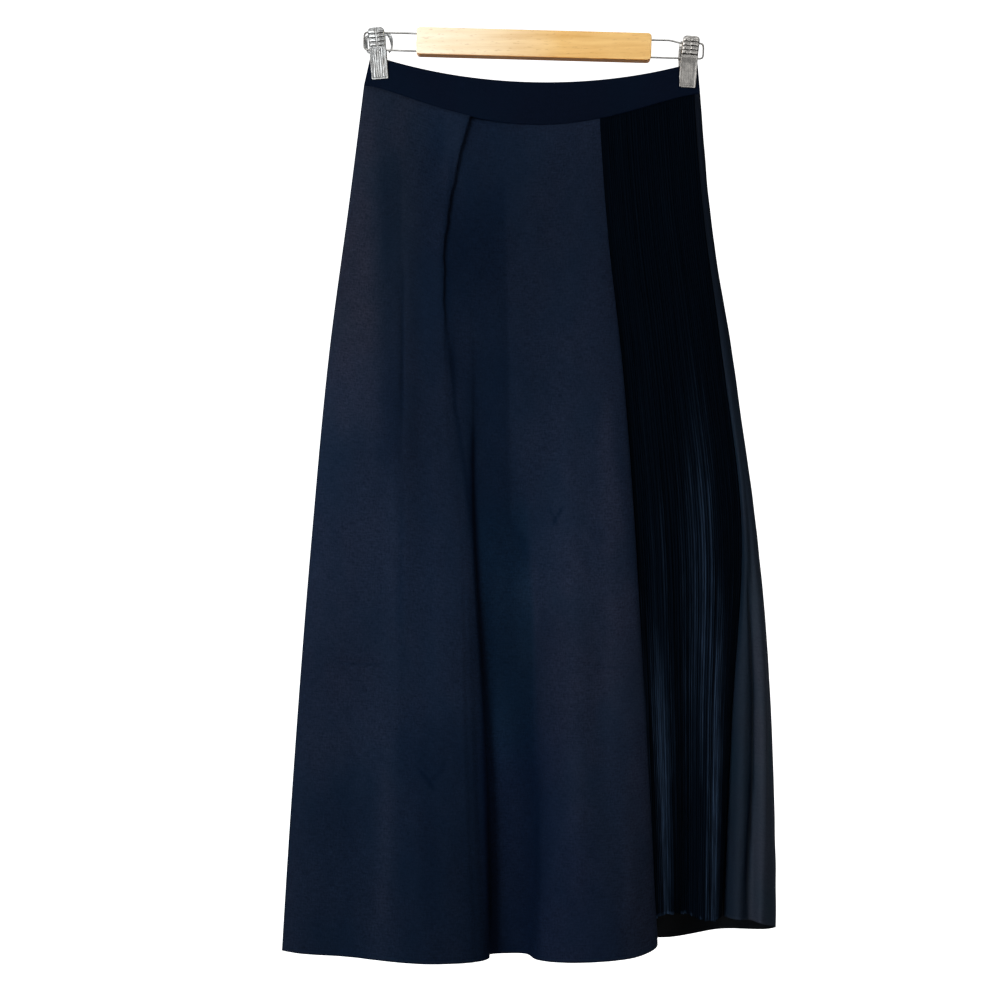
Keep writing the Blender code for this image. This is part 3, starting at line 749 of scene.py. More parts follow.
def steel_material(name, pale, deep, rough, streaks):
    """Plated steel with fine drawn lines and a little dulling."""
    material, tree, shader, node = new_material(name)
    place = node("ShaderNodeTexCoord").outputs["Object"]
    lines = noise(node, scaled(node, place, streaks), 3.0, 0.6)
    dull = noise(node, scaled(node, place, (160, 160, 160)), 2.0, 0.5)
    mix = spread(node, summed(node, lines, summed(node, dull, 0.6, "MULTIPLY")), 0.6, 1.0)
    colour = mixed(node, mix, deep, pale)
    tree.links.new(colour, shader.inputs["Base Color"])
    finish = node("ShaderNodeMapRange", in0=mix, in1=0.0, in2=1.0, in3=rough + 0.12, in4=rough)
    tree.links.new(finish.outputs[0], shader.inputs["Roughness"])
    shader.inputs["Metallic"].default_value = 1.0
    bump = node("ShaderNodeBump", Strength=0.06, Distance=0.0001, Height=lines)
    tree.links.new(bump.outputs[0], shader.inputs["Normal"])
    return material


# Cloth pieces


# Length of the cloth down to the hem, over how much of it the turned-up hem ends, and
# how far up each hem is turned
CLOTH_LENGTH = 0.88
HEM_EDGE = 0.0012
WOOL_HEM = 0.03
CREPE_HEM = 0.02
# Cloth below the waist seam over which creases grow
WAIST_REACH = 0.03
# The least share of brightness that painted shade leaves any place
DARKEST = 0.03


def levels_for(count, fine):
    """Rows from waist seam to hem, with extra rows within each fine range."""
    rows = [np.linspace(0, 1, count)]
    for low, high, more in fine:
        rows.append(np.linspace(low, high, more))
    joined = np.unique(np.round(np.concatenate(rows), 5))
    keep = np.concatenate(([True], np.diff(joined) > 0.0006))
    keep[-1] = True
    return joined[keep]


def hem_layers(levels, shape, single, turned, depth):
    """Distance to the inner side, doubled where the hem is turned up."""
    to_hem = (1 - np.asarray(levels)) * CLOTH_LENGTH
    extra = turned * (1 - ease(to_hem, depth, depth + HEM_EDGE))
    return np.broadcast_to((single + extra)[:, None], shape)


def free_of_seams(u, v, reach=0.014):
    """0 at the seams and 1 away from them; the hem is free."""
    edge = np.minimum(u - u[:, :1], u[:, -1:] - u)
    return ease(edge, 0.0, reach) * ease(v, 0.0, WAIST_REACH)


def seam_fill(u, column):
    """Extra cloth on the inner side that closes the gap at the left seam."""
    return SEAM_FILL * (1 - ease(np.abs(u - u[:, column][:, None]), 0.0, 3 * MM))


# Depths at which painted shade in hollows halves the brightness of the front and of the back
HOLLOW_DEPTH = 34 * MM
BACK_HOLLOW_DEPTH = 20 * MM
HEM_CURL = 13 * MM
PLEAT_WAVER = 0.55 * MM


# Rows of the front: closer at the crinkles, the knee crease and the hem
FRONT_ROWS = 176
FRONT_FINE = ((0.458, 0.492, 16), (0.655, 0.685, 18), (0.77, 0.804, 14), (0.985, 1.0, 8))
# Places in the front, counted in lines
PLEAT_EDGE = 6.8
PLEAT_UNDER = 8.0
FRONT_MIDDLE = 16.0


def add_front():
    """The wide front panel with its knife pleat, big fold and valley."""
    steps = stations(FRONT_LINES)
    levels = levels_for(FRONT_ROWS, FRONT_FINE)
    grid = cloth_grid(FRONT_LINES, levels, steps)
    # the pressed edge of the knife pleat wavers a little
    waver = np.sin(107 * levels) + 0.7 * np.sin(241 * levels + 1.0)
    waver = waver + 0.5 * np.sin(58 * levels + 2.0)
    waver = waver * ease(levels, 0.02, 0.06) * (1 - ease(levels, 0.26, 0.40))
    near = 1 - ease(np.abs(steps - PLEAT_EDGE), 0.6, 2.0)
    grid[..., 0] += PLEAT_WAVER * waver[:, None] * near[None, :]
    # the hem's right corner curls up
    grid[..., 2] += HEM_CURL * ease(steps, 17.1, 19.0)[None, :] * ease(levels, 0.9, 1.0)[:, None]
    middle = int(np.argmin(np.abs(steps - FRONT_MIDDLE)))
    u, v = arc_places(grid, middle)
    height = mark_height(grid, FRONT_MARKS)
    height += 0.00035 * ripple(u, v, 11, 10, 0.06, 0.16)
    height += 0.00012 * ripple(u, v, 12, 14, 0.018, 0.035)
    height *= free_of_seams(u, v)
    under = ease(np.abs(steps - PLEAT_UNDER), 1.6, 2.6)
    height *= under[None, :]
    grid = grid + outward(grid) * height[..., None]
    half = WOOL_CLOTH / 2
    inner = hem_layers(levels, u.shape, half, WOOL_CLOTH, WOOL_HEM) + seam_fill(u, 0)
    mesh = shell_mesh("front_panel_cloth", grid, np.full(u.shape, half), inner, (u, v))
    # painted shade in hollows: the deeper a point lies behind the tight string round its row, the
    # darker
    depth = np.array([chord_depth(row) for row in grid])
    tone = 1 / (1 + depth / HOLLOW_DEPTH)
    # painted shade along folds and creases, and broad painted zones of shade and light
    tone = tone * (1 - mark_height(grid, FRONT_PAINTED_SHADING_LINES) / MM)
    tone = tone * (1 - zone_loss(grid, FRONT_PAINTED_SHADING_ZONES))
    # painted light and shade by height
    painted_light = smooth(PAINTED_LIGHT_HEIGHTS, PAINTED_LIGHT_SHARES, grid[..., 2] / MM)
    mottle = 1 + 0.035 * ripple(u, v, 13, 12, 0.09, 0.14)
    tone = tone * (mottle + 0.03 * ripple(u, v, 14, 14, 0.02, 0.03))
    # painted tints of the shade and light
    hue = [1 - zone_loss(grid, zones) for zones in FRONT_PAINTED_TINTS]
    add_painted_light(mesh, np.clip(tone, DARKEST, None), (1.75, 1.02, 0.72), inside=0.5, even=painted_light, hue=hue)
    wool = cloth_material("wool", WOOL)
    return add_piece("front_panel_cloth", mesh, wool, ("front_panel",))


# Fine knife pleats of the insert
FINE_PLEATS = 42
PLEAT_STEPS = 6
PLEAT_RISE = 1.9 * MM
# Shares of a pleat's width over which it rises and drops
RISING = 0.7
FALLING = 0.3
# Rows of the insert, closer at the hem, and points of the path that its pleats follow
INSERT_ROWS = 160
INSERT_FINE = ((0.97, 1.0, 14),)
PATH_POINTS = 201

# Painted highlights on the insert: place and half width counted in lines, strength, the levels at
# which the painted highlight comes and goes, and the share of it that lies between the crests too
Gleam = namedtuple("Gleam", "line width strength begins ends wash")

GLEAMS = (
    Gleam(0.30, 0.22, 0.24, 0.58, 0.84, 0.2),
    Gleam(0.95, 0.14, 0.36, 0.64, 2.0, 0.2),
    Gleam(1.48, 0.44, 0.52, 0.67, 2.0, 0.40),
    Gleam(0.60, 0.30, 0.06, 0.86, 2.0, 0.4),
    Gleam(1.95, 0.26, 0.07, 0.80, 2.0, 0.4),
    Gleam(3.00, 0.30, 0.05, 0.68, 0.86, 0.4),
    Gleam(2.10, 0.10, 0.24, 0.42, 0.80, 0.0),
    Gleam(2.75, 0.09, 0.28, 0.40, 0.80, 0.0),
    Gleam(3.25, 0.28, 0.26, 0.41, 0.76, 0.10),
    Gleam(3.68, 0.14, 0.42, 0.36, 0.76, 0.15),
    Gleam(4.04, 0.13, 0.36, 0.37, 2.0, 0.15),
    Gleam(4.34, 0.11, 1.10, 0.62, 2.0, 0.30),
    Gleam(4.58, 0.12, 0.46, 0.66, 2.0, 0.15),
)


def add_insert():
    """The insert of fine knife pleats of uneven width and height."""
    lines = PLEATED_LINES
    count = FINE_PLEATS * PLEAT_STEPS + 1
    dense = np.linspace(0, len(lines) - 1, PATH_POINTS)
    levels = levels_for(INSERT_ROWS, INSERT_FINE)
    draw = np.random.default_rng(5)
    widths = draw.uniform(0.66, 1.34, FINE_PLEATS)
    heights = draw.uniform(0.45, 0.95, FINE_PLEATS)
    heights[draw.random(FINE_PLEATS) < 0.3] += 0.5
    deep = draw.uniform(0.5, 1.5, FINE_PLEATS)
    shine = draw.uniform(0.15, 1.0, FINE_PLEATS) ** 1.5
    begins = draw.uniform(0.30, 0.62, FINE_PLEATS)
    broad = draw.random(FINE_PLEATS) < 0.3
    # painted highlights along the hem of some pleats
    lit_hem = 0.35 * (draw.random(FINE_PLEATS) < 0.22)
    lit_hem[2:7] = 0.6
    edges = np.concatenate(([0.0], np.cumsum(widths))) / widths.sum()
    column = np.arange(count)
    share = np.interp(column / PLEAT_STEPS, np.arange(FINE_PLEATS + 1), edges)
    phase = (column % PLEAT_STEPS) / PLEAT_STEPS
    owner = np.minimum(column // PLEAT_STEPS, FINE_PLEATS - 1)
    # a knife pleat rises slowly and drops fast
    tooth = np.where(phase < RISING, phase / RISING, (1 - phase) / FALLING)
    tooth = (1 - np.cos(math.pi * tooth)) / 2
    hold = ease(np.minimum(share, 1 - share), 0.0, 0.02)
    grid, painted_highlights = [], []
    top = None
    for level in levels:
        row = plan_row(lines, level, dense)
        pieces = np.hypot(np.diff(row[:, 0]), np.diff(row[:, 1]))
        length = np.concatenate(([0.0], np.cumsum(pieces)))
        at = share * length[-1]
        path = np.column_stack([np.interp(at, length, row[:, k]) for k in range(3)])
        station = np.interp(at, length, dense)
        along = np.gradient(path[:, :2], axis=0)
        along /= np.linalg.norm(along, axis=1)[:, None]
        out = np.column_stack((along[:, 1], -along[:, 0]))
        opening = 0.5 + 0.5 * ease(level, 0.1, 0.8)
        sway = 0.8 + 0.2 * np.sin(2 * math.pi * (level * 2.2 + owner * 0.37))
        swing = (tooth * heights[owner] - 0.45) * PLEAT_RISE * opening * sway * hold
        path[:, :2] += out * swing[:, None]
        drop = (deep[owner] - 1.0) * 0.0022 * hold
        if top is None:
            top = seam_height(path[:, 0]) + SEAM_TUCK
        height = top + (path[:, 2] - drop - top) * level
        grid.append(np.column_stack((path[:, 0], path[:, 1], height)))
        # painted highlights on the pleat crests and a share washed between them
        gleam, wash = np.zeros(count), np.zeros(count)
        for g in GLEAMS:
            comes = ease(level, g.begins - 0.08, g.begins + 0.16)
            goes = ease(level, g.ends - 0.12, g.ends + 0.12)
            here = comes * (1 - goes) * g.strength * np.exp(-(((station - g.line) / g.width) ** 2))
            gleam += here
            wash += here * g.wash
        flow = ease(level, begins[owner] - 0.2, begins[owner] + 0.15)
        crest = 0.05 + 0.95 * tooth ** np.where(broad[owner], 1.3, 4.5)
        at_hem = lit_hem[owner] * ease(level, 0.9965, 0.9985)
        crests = (0.03 + gleam - wash) * flow * crest * (0.3 + 1.1 * shine[owner])
        painted_highlights.append(crests + 0.6 * wash * (0.7 + 0.3 * tooth) + at_hem)
    grid = np.array(grid)
    u, v = arc_places(grid, count // 2)
    half = PLEAT_CLOTH / 2
    inner = np.full(u.shape, half)
    mesh = shell_mesh("pleated_insert_cloth", grid, np.full(u.shape, half), inner, (u, v))
    add_painted_light(mesh, np.clip(np.array(painted_highlights), 0.0, 1.0), (1.0, 1.0, 1.0))
    satin = satin_material()
    return add_piece("pleated_insert_cloth", mesh, satin, ("pleated_panel",))


# Marks, and lines of painted shade, of the smooth strip, in front of the line where the back turns
STRIP_MARKS = (
    Mark(((228, -560), (235.5, -711), (235, -800), (231.5, -870), (227.5, -965)), 2.0, -3.8, 70),
    Mark(((238, -560), (245, -711), (244.5, -800), (241, -880), (238, -965)), 6.0, 2.0, 90),
    Mark(((216, -500), (219, -640), (218, -800), (214, -955)), 7.0, 0.7, 90),
    Mark(((203, -360), (216, -480), (222, -600)), 2.0, -0.8, 70),
    Mark(((213, -640), (214, -700), (212, -760)), 1.4, -0.4, 40),
    Mark(((222, -820), (222, -870), (219, -930)), 1.4, -0.5, 40),
    Mark(((249, -640), (252, -760), (251, -900)), 2.2, -0.5, 60),
)
STRIP_PAINTED_SHADE_LINES = (
    Mark(((230, -560), (236.6, -711), (236, -800), (232.5, -870), (228.6, -975)), 1.3, 0.45, 60),
    Mark(((206, -560), (206.4, -700), (204.4, -840), (203.4, -975)), 1.3, 0.6, 70),
    Mark(((228, -640), (233, -730), (231.5, -800), (228, -870), (224, -975)), 3.0, 0.16, 70),
    Mark(((233, -780), (232, -830), (229, -885), (225, -930)), 4.4, 0.46, 35),
    Mark(((267, -740), (269, -820), (268, -900)), 6.0, 0.55, 60),
)
# Zones of painted shade and light on the strip's two flutes
STRIP_EDGE_HEIGHTS = (-300, -600, -711, -800, -870, -975)
STRIP_EDGE = (232, 232, 237, 236.4, 233, 229)
STRIP_PAINTED_SHADING_ZONES = (
    Zone(STRIP_EDGE_HEIGHTS, (150, 200, 200, 198, 197, 196), STRIP_EDGE, (2, 1.2), 80, 0.18),
    Zone(STRIP_EDGE_HEIGHTS[1:], STRIP_EDGE[1:], (290, 290, 290, 290, 290), (1.2, 2), 80, -0.62),
)
# Painted light and shade: share of brightness kept at heights down the strip, dark at the top
STRIP_PAINTED_LIGHT_HEIGHTS = (-1000, -880, -760, -600, -440, -380, -330, -250, -160, -60)
STRIP_PAINTED_LIGHT_SHARES = (0.97, 1.04, 1.13, 0.96, 1.05, 0.75, 0.46, 0.30, 0.19, 0.14)
# Line where the strip goes over into the back, the back's middle line and its rows
STRIP_END = 4.6
BACK_MIDDLE = 9.0
BACK_ROWS = 180
BACK_FINE = ((0.985, 1.0, 8),)


def add_back():
    """The back, which wraps forward at the right as the smooth strip."""
    steps = stations(BACK_LINES)
    levels = levels_for(BACK_ROWS, BACK_FINE)
    grid = cloth_grid(BACK_LINES, levels, steps)
    middle = int(np.argmin(np.abs(steps - BACK_MIDDLE)))
    u, v = arc_places(grid, middle)
    in_front = (1 - ease(steps, STRIP_END - 0.5, STRIP_END))[None, :]
    height = 0.0006 * ripple(u, v, 21, 10, 0.07, 0.2)
    height += 0.00016 * ripple(u, v, 22, 14, 0.02, 0.04)
    height += mark_height(grid, STRIP_MARKS) * in_front
    height += mark_height(grid, BACK_MARKS) * (1 - in_front)
    height *= free_of_seams(u, v, reach=0.006)
    grid = grid + outward(grid) * height[..., None]
    half = CREPE_CLOTH / 2
    inner = hem_layers(levels, u.shape, half, CREPE_CLOTH, CREPE_HEM) + seam_fill(u, -1)
    mesh = shell_mesh("back_panel_cloth", grid, np.full(u.shape, half), inner, (u, v))
    # painted shade and light on the strip: darker lines, zones and brightness by height
    tone = (1 - mark_height(grid, STRIP_PAINTED_SHADE_LINES) / MM) * (1 - zone_loss(grid, STRIP_PAINTED_SHADING_ZONES))
    tone = tone * smooth(STRIP_PAINTED_LIGHT_HEIGHTS, STRIP_PAINTED_LIGHT_SHARES, grid[..., 2] / MM)
    # painted shade in the back's hollows and along its creases
    away = steps > STRIP_END
    behind = np.array([chord_depth(row[away] * (1, -1, 1)) for row in grid])
    hollow_shade = np.ones(u.shape)
    hollow_shade[:, away] = 1 / (1 + behind / BACK_HOLLOW_DEPTH)
    hollow_shade = hollow_shade * (1 - mark_height(grid, BACK_PAINTED_SHADE_LINES) / MM)
    tone = tone * in_front + hollow_shade * (1 - in_front)
    # painted highlight along the strip's hem edge
    tone = tone + 0.5 * in_front * ease(levels, 0.9965, 0.999)[:, None]
    tone = tone * (1 + 0.05 * ripple(u, v, 23, 12, 0.05, 0.2))
    add_painted_light(mesh, np.clip(tone, DARKEST, None), inside=0.12)
    crepe = cloth_material("crepe", CREPE)
    return add_piece("back_panel_cloth", mesh, crepe, ("back_panel",))


def add_band(name, side, node, material):
    """One shaped waistband, side -1 for the front and 1 for the back."""
    shares = np.linspace(-1, 1, BAND_COLUMNS + 1)
    inner = (SEAM_GAP + BAND_CLOTH) / 2
    belly = inner + BAND_BELLY * (1 - shares ** 2) ** 2
    top_x = np.interp(shares, (-1, 1), BAND_TOP_X)
    seam_x = np.interp(shares, (-1, 1), BAND_SEAM_X)
    top_z = band_edge(shares, BAND_TOP_Z, BAND_TOP_DIP, BAND_TOP_SHAPE)
    seam_z = band_edge(shares, BAND_SEAM_Z, BAND_SEAM_DIP, BAND_SEAM_SHAPE) + SEAM_GAP / 2
    rows = []
    for level in np.linspace(0, 1, BAND_ROWS + 1):
        x = top_x + (seam_x - top_x) * level
        z = top_z + (seam_z - top_z) * level
        rows.append(np.column_stack((x, side * belly, z)))
    grid = np.array(rows)
    if side > 0:
        grid = grid[:, ::-1]
    u, v = arc_places(grid, BAND_COLUMNS // 2)
    edge = np.minimum(v, v[-1:] - v)
    plump = BAND_CLOTH / 2 * (0.45 + 0.55 * np.sqrt(ease(edge, 0.0, 0.0022)))
    mesh = shell_mesh(name, grid, plump, plump, (u, v))
    return add_piece(name, mesh, material, (node,))


# Hanger

BAR_LENGTH = 251 * MM
BAR_TILT = math.radians(1.55)
WIRE_RADIUS = 1.0 * MM
WIRE_UPPER_Z = -5.6 * MM
WIRE_LOWER_Z = -24.3 * MM
WIRE_REACH = 181.6 * MM
WIRE_END_WIDTH = 7 * MM
WIRE_END_SQUARE = 4.4
WIRE_IN_BAR = 10 * MM
STEP_INNER_X = 146 * MM
STEP_OUTER_X = 156 * MM
CLIP_X = 166.4 * MM
CLIP_WIDTH = 17.8 * MM
CLIP_STEEL = 1.0 * MM

# Plain colours of the plating: the chrome where it is dull, and the wire
CHROME_DEEP = srgb(158, 156, 153)
WIRE_PALE = srgb(214, 212, 208)
WIRE_DEEP = srgb(160, 158, 154)

# A side of the hanger: where it lies, how far its clip leans, the step in its upper
# wire, how deep the jaw's ribs are and the pale colour of its chrome, set apart for each clip
# as painted light: cool on the left, warmer on the right
Side = namedtuple("Side", "name sign lean wire_step ribs pale")
SIDES = (
    Side("left", -1, math.radians(-6.0), 0.0, 1.0, srgb(224, 228, 229)),
    Side("right", 1, math.radians(2.7), 2.4 * MM, 0.07, srgb(230, 226, 220)),
)

# Inner side of a jaw, in mm: height above the lower wire, distance from the middle plane
JAW_HEIGHTS = (-32.1, -27.0, -16.0, -6.0, 0.0, 2.0, 20.9)
JAW_REACH = (2.35, 2.35, 3.1, 3.3, 3.1, 3.5, 10.0)
JAW_COLUMNS = 64
JAW_ROWS = 132
JAW_LOW = -32.1
JAW_TOP = 20.9
JAW_LIP = 0.45

# Grip ribs above the plate, and the flute that parts them
GRIP_FIRST = 4.5
GRIP_PITCH = 4.0
GRIP_COUNT = 4
GRIP_RISE = 0.8
GRIP_GROOVE = 0.6
GRIP_GROOVE_X = 1.4

# Springs: a coil round the lower wire with two legs that push the grips apart
COIL_TURNS = 6
COIL_RADIUS = 2.25 * MM
COIL_WIRE = 0.55 * MM
COIL_HALF = 5.6 * MM
LEG_HEIGHT = 11.0
LEG_SPACE = 0.62


def hanger_frame(side=None):
    """Matrix of the hanger, or of one clip on it."""
    place = Matrix.Rotation(BAR_TILT, 4, "Y")
    if side is None:
        return place
    place = place @ Matrix.Translation((side.sign * CLIP_X, 0.0, WIRE_LOWER_Z))
    return place @ Matrix.Rotation(side.lean, 4, "Y")


def moved(points, place):
    """Points in mm carried by a matrix, in metres."""
    turn = np.array(place.to_3x3())
    return np.asarray(points, float) * MM @ turn.T + np.array(place.translation)


def band_rise(value, middle, half, soft):
    """1 within half of the middle, falling to 0 over soft."""
    return 1 - ease(np.abs(value - middle), half, half + soft)


def jaw_half_width(height):
    """Half width of a jaw in mm, with rounded corners at its top and foot."""
    half = CLIP_WIDTH / 2 / MM
    top = np.clip((height - (JAW_TOP - 4.5)) / 4.5, 0, 1)
    foot = np.clip((JAW_LOW + 1.0 - height) / 1.0, 0, 1)
    half = half - 4.2 * (1 - np.sqrt(1 - 0.97 * top ** 2))
    return half - 0.8 * (1 - np.sqrt(1 - 0.97 * foot ** 2))


def jaw_relief(a, c, side, facing):
    """Height in mm of what is pressed into a jaw's outer side: ribs, rim, arch and grips."""
    plate = 1 - ease(c, -0.5, 1.0)
    rim = ease(np.abs(a), 7.3, 7.8) + ease(-c, 30.2, 30.8)
    relief = 0.42 * np.clip(rim, 0, 1) * plate
    sway = 0.5 * np.sin(0.20 * c + 0.9 * a) + 0.3 * np.sin(0.37 * c - 0.6 * a + 1.3)
    ribs = np.cos(2 * math.pi * (a + 0.35 * sway) / 2.35)
    field = band_rise(a, 0, 6.4, 0.8) * band_rise(c, -14.6, 14.4, 1.2)
    relief += side.ribs * 0.34 * (ribs * (0.75 + 0.25 * sway) + 0.2) * field
    if side.sign < 0 and facing < 0:
        ring = np.hypot(a + 3.2, c + 3.4) - 4.6
        relief += 0.5 * np.exp(-((ring / 0.6) ** 2)) * ease(c, -4.5, -2.5)
    if side.sign > 0 and facing < 0:
        relief += 1.1 * band_rise(a, -8.2, 0.8, 0.5) * plate
    for k in range(GRIP_COUNT):
        middle = GRIP_FIRST + k * GRIP_PITCH
        bow = 0.35 * np.cos(math.pi * np.clip((np.abs(a) - 4.6) / 3.6, -1, 1))
        wave = np.clip(np.abs(c - middle - bow * 0.6) / (GRIP_PITCH / 2), 0, 1)
        rib = 1 - wave ** 3.5
        full = band_rise(np.abs(a), 4.6, 2.9, 1.0)
        relief += GRIP_RISE * rib * (0.25 + 0.75 * full)
        if side.sign > 0:
            for spot in (0.9, -6.2):
                near = np.hypot(a - spot, c - middle) / 1.3
                weight = 1.0 if spot > 0 or k == 0 else 0.3
                relief += 0.9 * weight * np.sqrt(np.clip(1 - near ** 2, 0, 1))
    if side.sign < 0:
        # each half of the grip turns away from the groove between them
        roof = 0.05 * np.abs(a - GRIP_GROOVE_X) + 0.12 * np.maximum(a - GRIP_GROOVE_X, 0)
        groove = 0.7 * np.exp(-(((a - GRIP_GROOVE_X) / GRIP_GROOVE) ** 2))
        relief -= (roof + groove) * ease(c, 2.0, 3.0)
    return relief


def add_jaw(side, facing, material):
    """One pressed steel jaw, facing -1 at the front and 1 at the back."""
    c = np.linspace(JAW_TOP, JAW_LOW, JAW_ROWS + 1)[:, None]
    share = np.linspace(-1, 1, JAW_COLUMNS + 1)[None, :]
    if facing > 0:
        share = -share
    a = share * jaw_half_width(c)
    c = np.broadcast_to(c, a.shape)
    steel = CLIP_STEEL / MM
    reach = np.interp(c, JAW_HEIGHTS, JAW_REACH)
    edge = ease(np.abs(a), 7.9, 8.9)
    # the sides turn in a little, and the foot ends in a lip that holds the band
    reach = reach - 0.5 * edge * ease(c, -26, -22) - JAW_LIP * (1 - ease(c, -31.6, -30.2))
    reach = reach - 0.9 * ease(c, 18.6, JAW_TOP)
    points = np.stack((a, facing * (reach + steel / 2), c), axis=2)
    grid = moved(points, hanger_frame(side))
    rounding = 1 - 0.45 * ease(np.abs(share) * np.ones_like(a), 0.955, 1.0)
    outer = (steel / 2 + jaw_relief(a, c, side, facing)) * rounding * MM
    inner = np.full(a.shape, steel / 2 * MM)
    u = a * MM
    v = -c * MM
    where = "front" if facing < 0 else "back"
    name = f"clip_{side.name}_{where}"
    mesh = shell_mesh(name + "_jaw", grid, outer, inner, (u, v))
    return add_piece(name + "_jaw", mesh, material, (name,))


def tube_parts(path, radius, sides):
    """Points and faces of a closed round tube along a path in metres."""
    path = np.asarray(path, float)
    along = np.gradient(path, axis=0)
    along /= np.linalg.norm(along, axis=1)[:, None]
    side = np.cross(along[0], (0.31, 0.86, 0.41))
    rings = []
    angle = np.arange(sides) * 2 * math.pi / sides
    for point, way in zip(path, along):
        side = side - way * (side @ way)
        side /= np.linalg.norm(side)
        other = np.cross(way, side)
        ring = np.cos(angle)[:, None] * side + np.sin(angle)[:, None] * other
        rings.append(point + radius * ring)
    points = np.concatenate(rings + [path[:1], path[-1:]])
    count = len(path)
    number = np.arange(count * sides).reshape(count, sides)
    after = np.roll(number, -1, axis=1)
    quads = np.stack((number[:-1], after[:-1], after[1:], number[1:]), axis=2)
    faces = quads.reshape(-1, 4).tolist()
    first, last = count * sides, count * sides + 1
    for k in range(sides):
        faces.append((first, after[0, k], number[0, k]))
        faces.append((last, number[-1, k], after[-1, k]))
    return points, faces


def add_tubes(name, tubes, material, node):
    """One piece made of closed tubes: each is a path, a radius and a number of sides."""
    points, faces = [], []
    total = 0
    for path, radius, sides in tubes:
        more, rings = tube_parts(path, radius, sides)
        points.append(more)
        faces += [tuple(k + total for k in face) for face in rings]
        total += len(more)
    mesh = bpy.data.meshes.new(name)
    mesh.from_pydata(np.concatenate(points).tolist(), [], faces)
    mesh.shade_smooth()
    return add_piece(name, mesh, material, (node,))


def add_spring(side, material):
    """The coil and its legs."""
    turns = np.linspace(0, 1, COIL_TURNS * 20 + 1)
    angle = 2 * math.pi * COIL_TURNS * turns - math.pi / 2
    coil = np.column_stack((
        side.sign * (turns * 2 - 1) * COIL_HALF / MM,
        np.cos(angle) * COIL_RADIUS / MM,
        np.sin(angle) * COIL_RADIUS / MM,
    ))
    tubes = [(moved(coil, hanger_frame(side)), COIL_WIRE, 10)]
    for facing, end in ((-1, coil[0]), (1, coil[-1])):
        rise = np.linspace(0, 1, 12)
        height = end[2] + (LEG_HEIGHT - end[2]) * rise
        rest = np.interp(LEG_HEIGHT, JAW_HEIGHTS, JAW_REACH) - LEG_SPACE
        out = end[1] + (facing * rest - end[1]) * rise
        leg = np.column_stack((np.full(12, end[0]), out, height))
        tubes.append((moved(leg, hanger_frame(side)), COIL_WIRE, 10))
    node = f"clip_{side.name}_spring"
    return add_tubes(node + "_coil", tubes, material, node)


# Flat steel arms beside the grips: way from the clip's middle, height above the lower
# wire, distance behind the wires and width, all in mm, from the back grip down
ARM_BEHIND = (7.0, 5.2, 2.9, 2.4, 2.4, 2.8)
ARM_STEEL = 0.45 * MM
Arm = namedtuple("Arm", "name way height width")
ARMS = {
    "left": (
        Arm(
            "inner",
            (8.0, 11.4, 14.0, 15.0, 14.4, 11.0),
            (18.2, 17.6, 13.6, 7.0, 1.2, -2.4),
            (2.2, 3.4, 3.8, 2.4, 1.5, 1.2),
        ),
        Arm(
            "outer",
            (-8.0, -10.8, -12.2, -12.4, -11.8, -9.4),
            (17.4, 17.0, 13.0, 6.0, 1.0, -1.4),
            (1.6, 2.4, 3.2, 3.0, 1.8, 1.0),
        ),
    ),
    "right": (
        Arm(
            "inner",
            (-7.6, -8.5, -9.0, -9.2, -9.2, -9.0),
            (19.0, 17.0, 11.0, 3.0, -3.0, -9.0),
            (2.4, 3.6, 4.2, 4.0, 3.4, 2.4),
        ),
    ),
}


def add_arm(side, arm, material):
    """A thin pressed strip that flares out beside the grip."""
    at = np.linspace(0, 5, 41)
    rows = (arm.way, arm.height, ARM_BEHIND, arm.width)
    way, height, behind, width = (smooth(range(6), row, at) for row in rows)
    along = np.gradient(np.column_stack((way, height)), axis=0)
    along /= np.linalg.norm(along, axis=1)[:, None]
    share = np.linspace(-0.5, 0.5, 9) * (1 if arm.way[2] > 0 else -1)
    strips = []
    for part in share:
        a = way + along[:, 1] * width * part
        c = height - along[:, 0] * width * part
        strips.append(np.column_stack((a, behind + 0.5 * (4 * part * part), c)))
    points = np.stack(strips, axis=1)
    grid = moved(points, hanger_frame(side))
    u, v = arc_places(grid, 4)
    steel = np.full(u.shape, ARM_STEEL)
    name = f"clip_{side.name}_{arm.name}_arm"
    mesh = shell_mesh(name, grid, steel, steel, (u, v))
    return add_piece(name, mesh, material, ())


def add_wire(side, material):
    """The U-shaped wire from the bar's end and back, as one smooth tube."""
    inner = BAR_LENGTH / 2 - WIRE_IN_BAR + 0.1 * MM
    upper = WIRE_UPPER_Z - side.wire_step
    turn_x = WIRE_REACH - WIRE_END_WIDTH
    straight = np.linspace(inner, STEP_INNER_X - 2 * MM, 14)
    stepped = np.linspace(STEP_INNER_X - 1 * MM, turn_x, 30)
    x = np.concatenate((straight, stepped))
    z = WIRE_UPPER_Z - side.wire_step * ease(x, STEP_INNER_X - 2 * MM, STEP_OUTER_X + 2 * MM)
    middle, half = (upper + WIRE_LOWER_Z) / 2, (upper - WIRE_LOWER_Z) / 2
    angle = np.linspace(math.pi / 2, -math.pi / 2, 81)[1:-1]
    square = 2 / WIRE_END_SQUARE
    end_x = turn_x + WIRE_END_WIDTH * np.cos(angle) ** square
    end_z = middle + half * np.sign(np.sin(angle)) * np.abs(np.sin(angle)) ** square
    x = np.concatenate((x, end_x, np.linspace(turn_x, inner, 24)))
    z = np.concatenate((z, end_z, np.full(24, WIRE_LOWER_Z)))
    path = np.column_stack((side.sign * x, np.zeros(len(x)), z)) / MM
    node = "wire_" + side.name
    tube = (moved(path, hanger_frame()), WIRE_RADIUS, 18)
    return add_tubes(node + "_round", [tube], material, node)


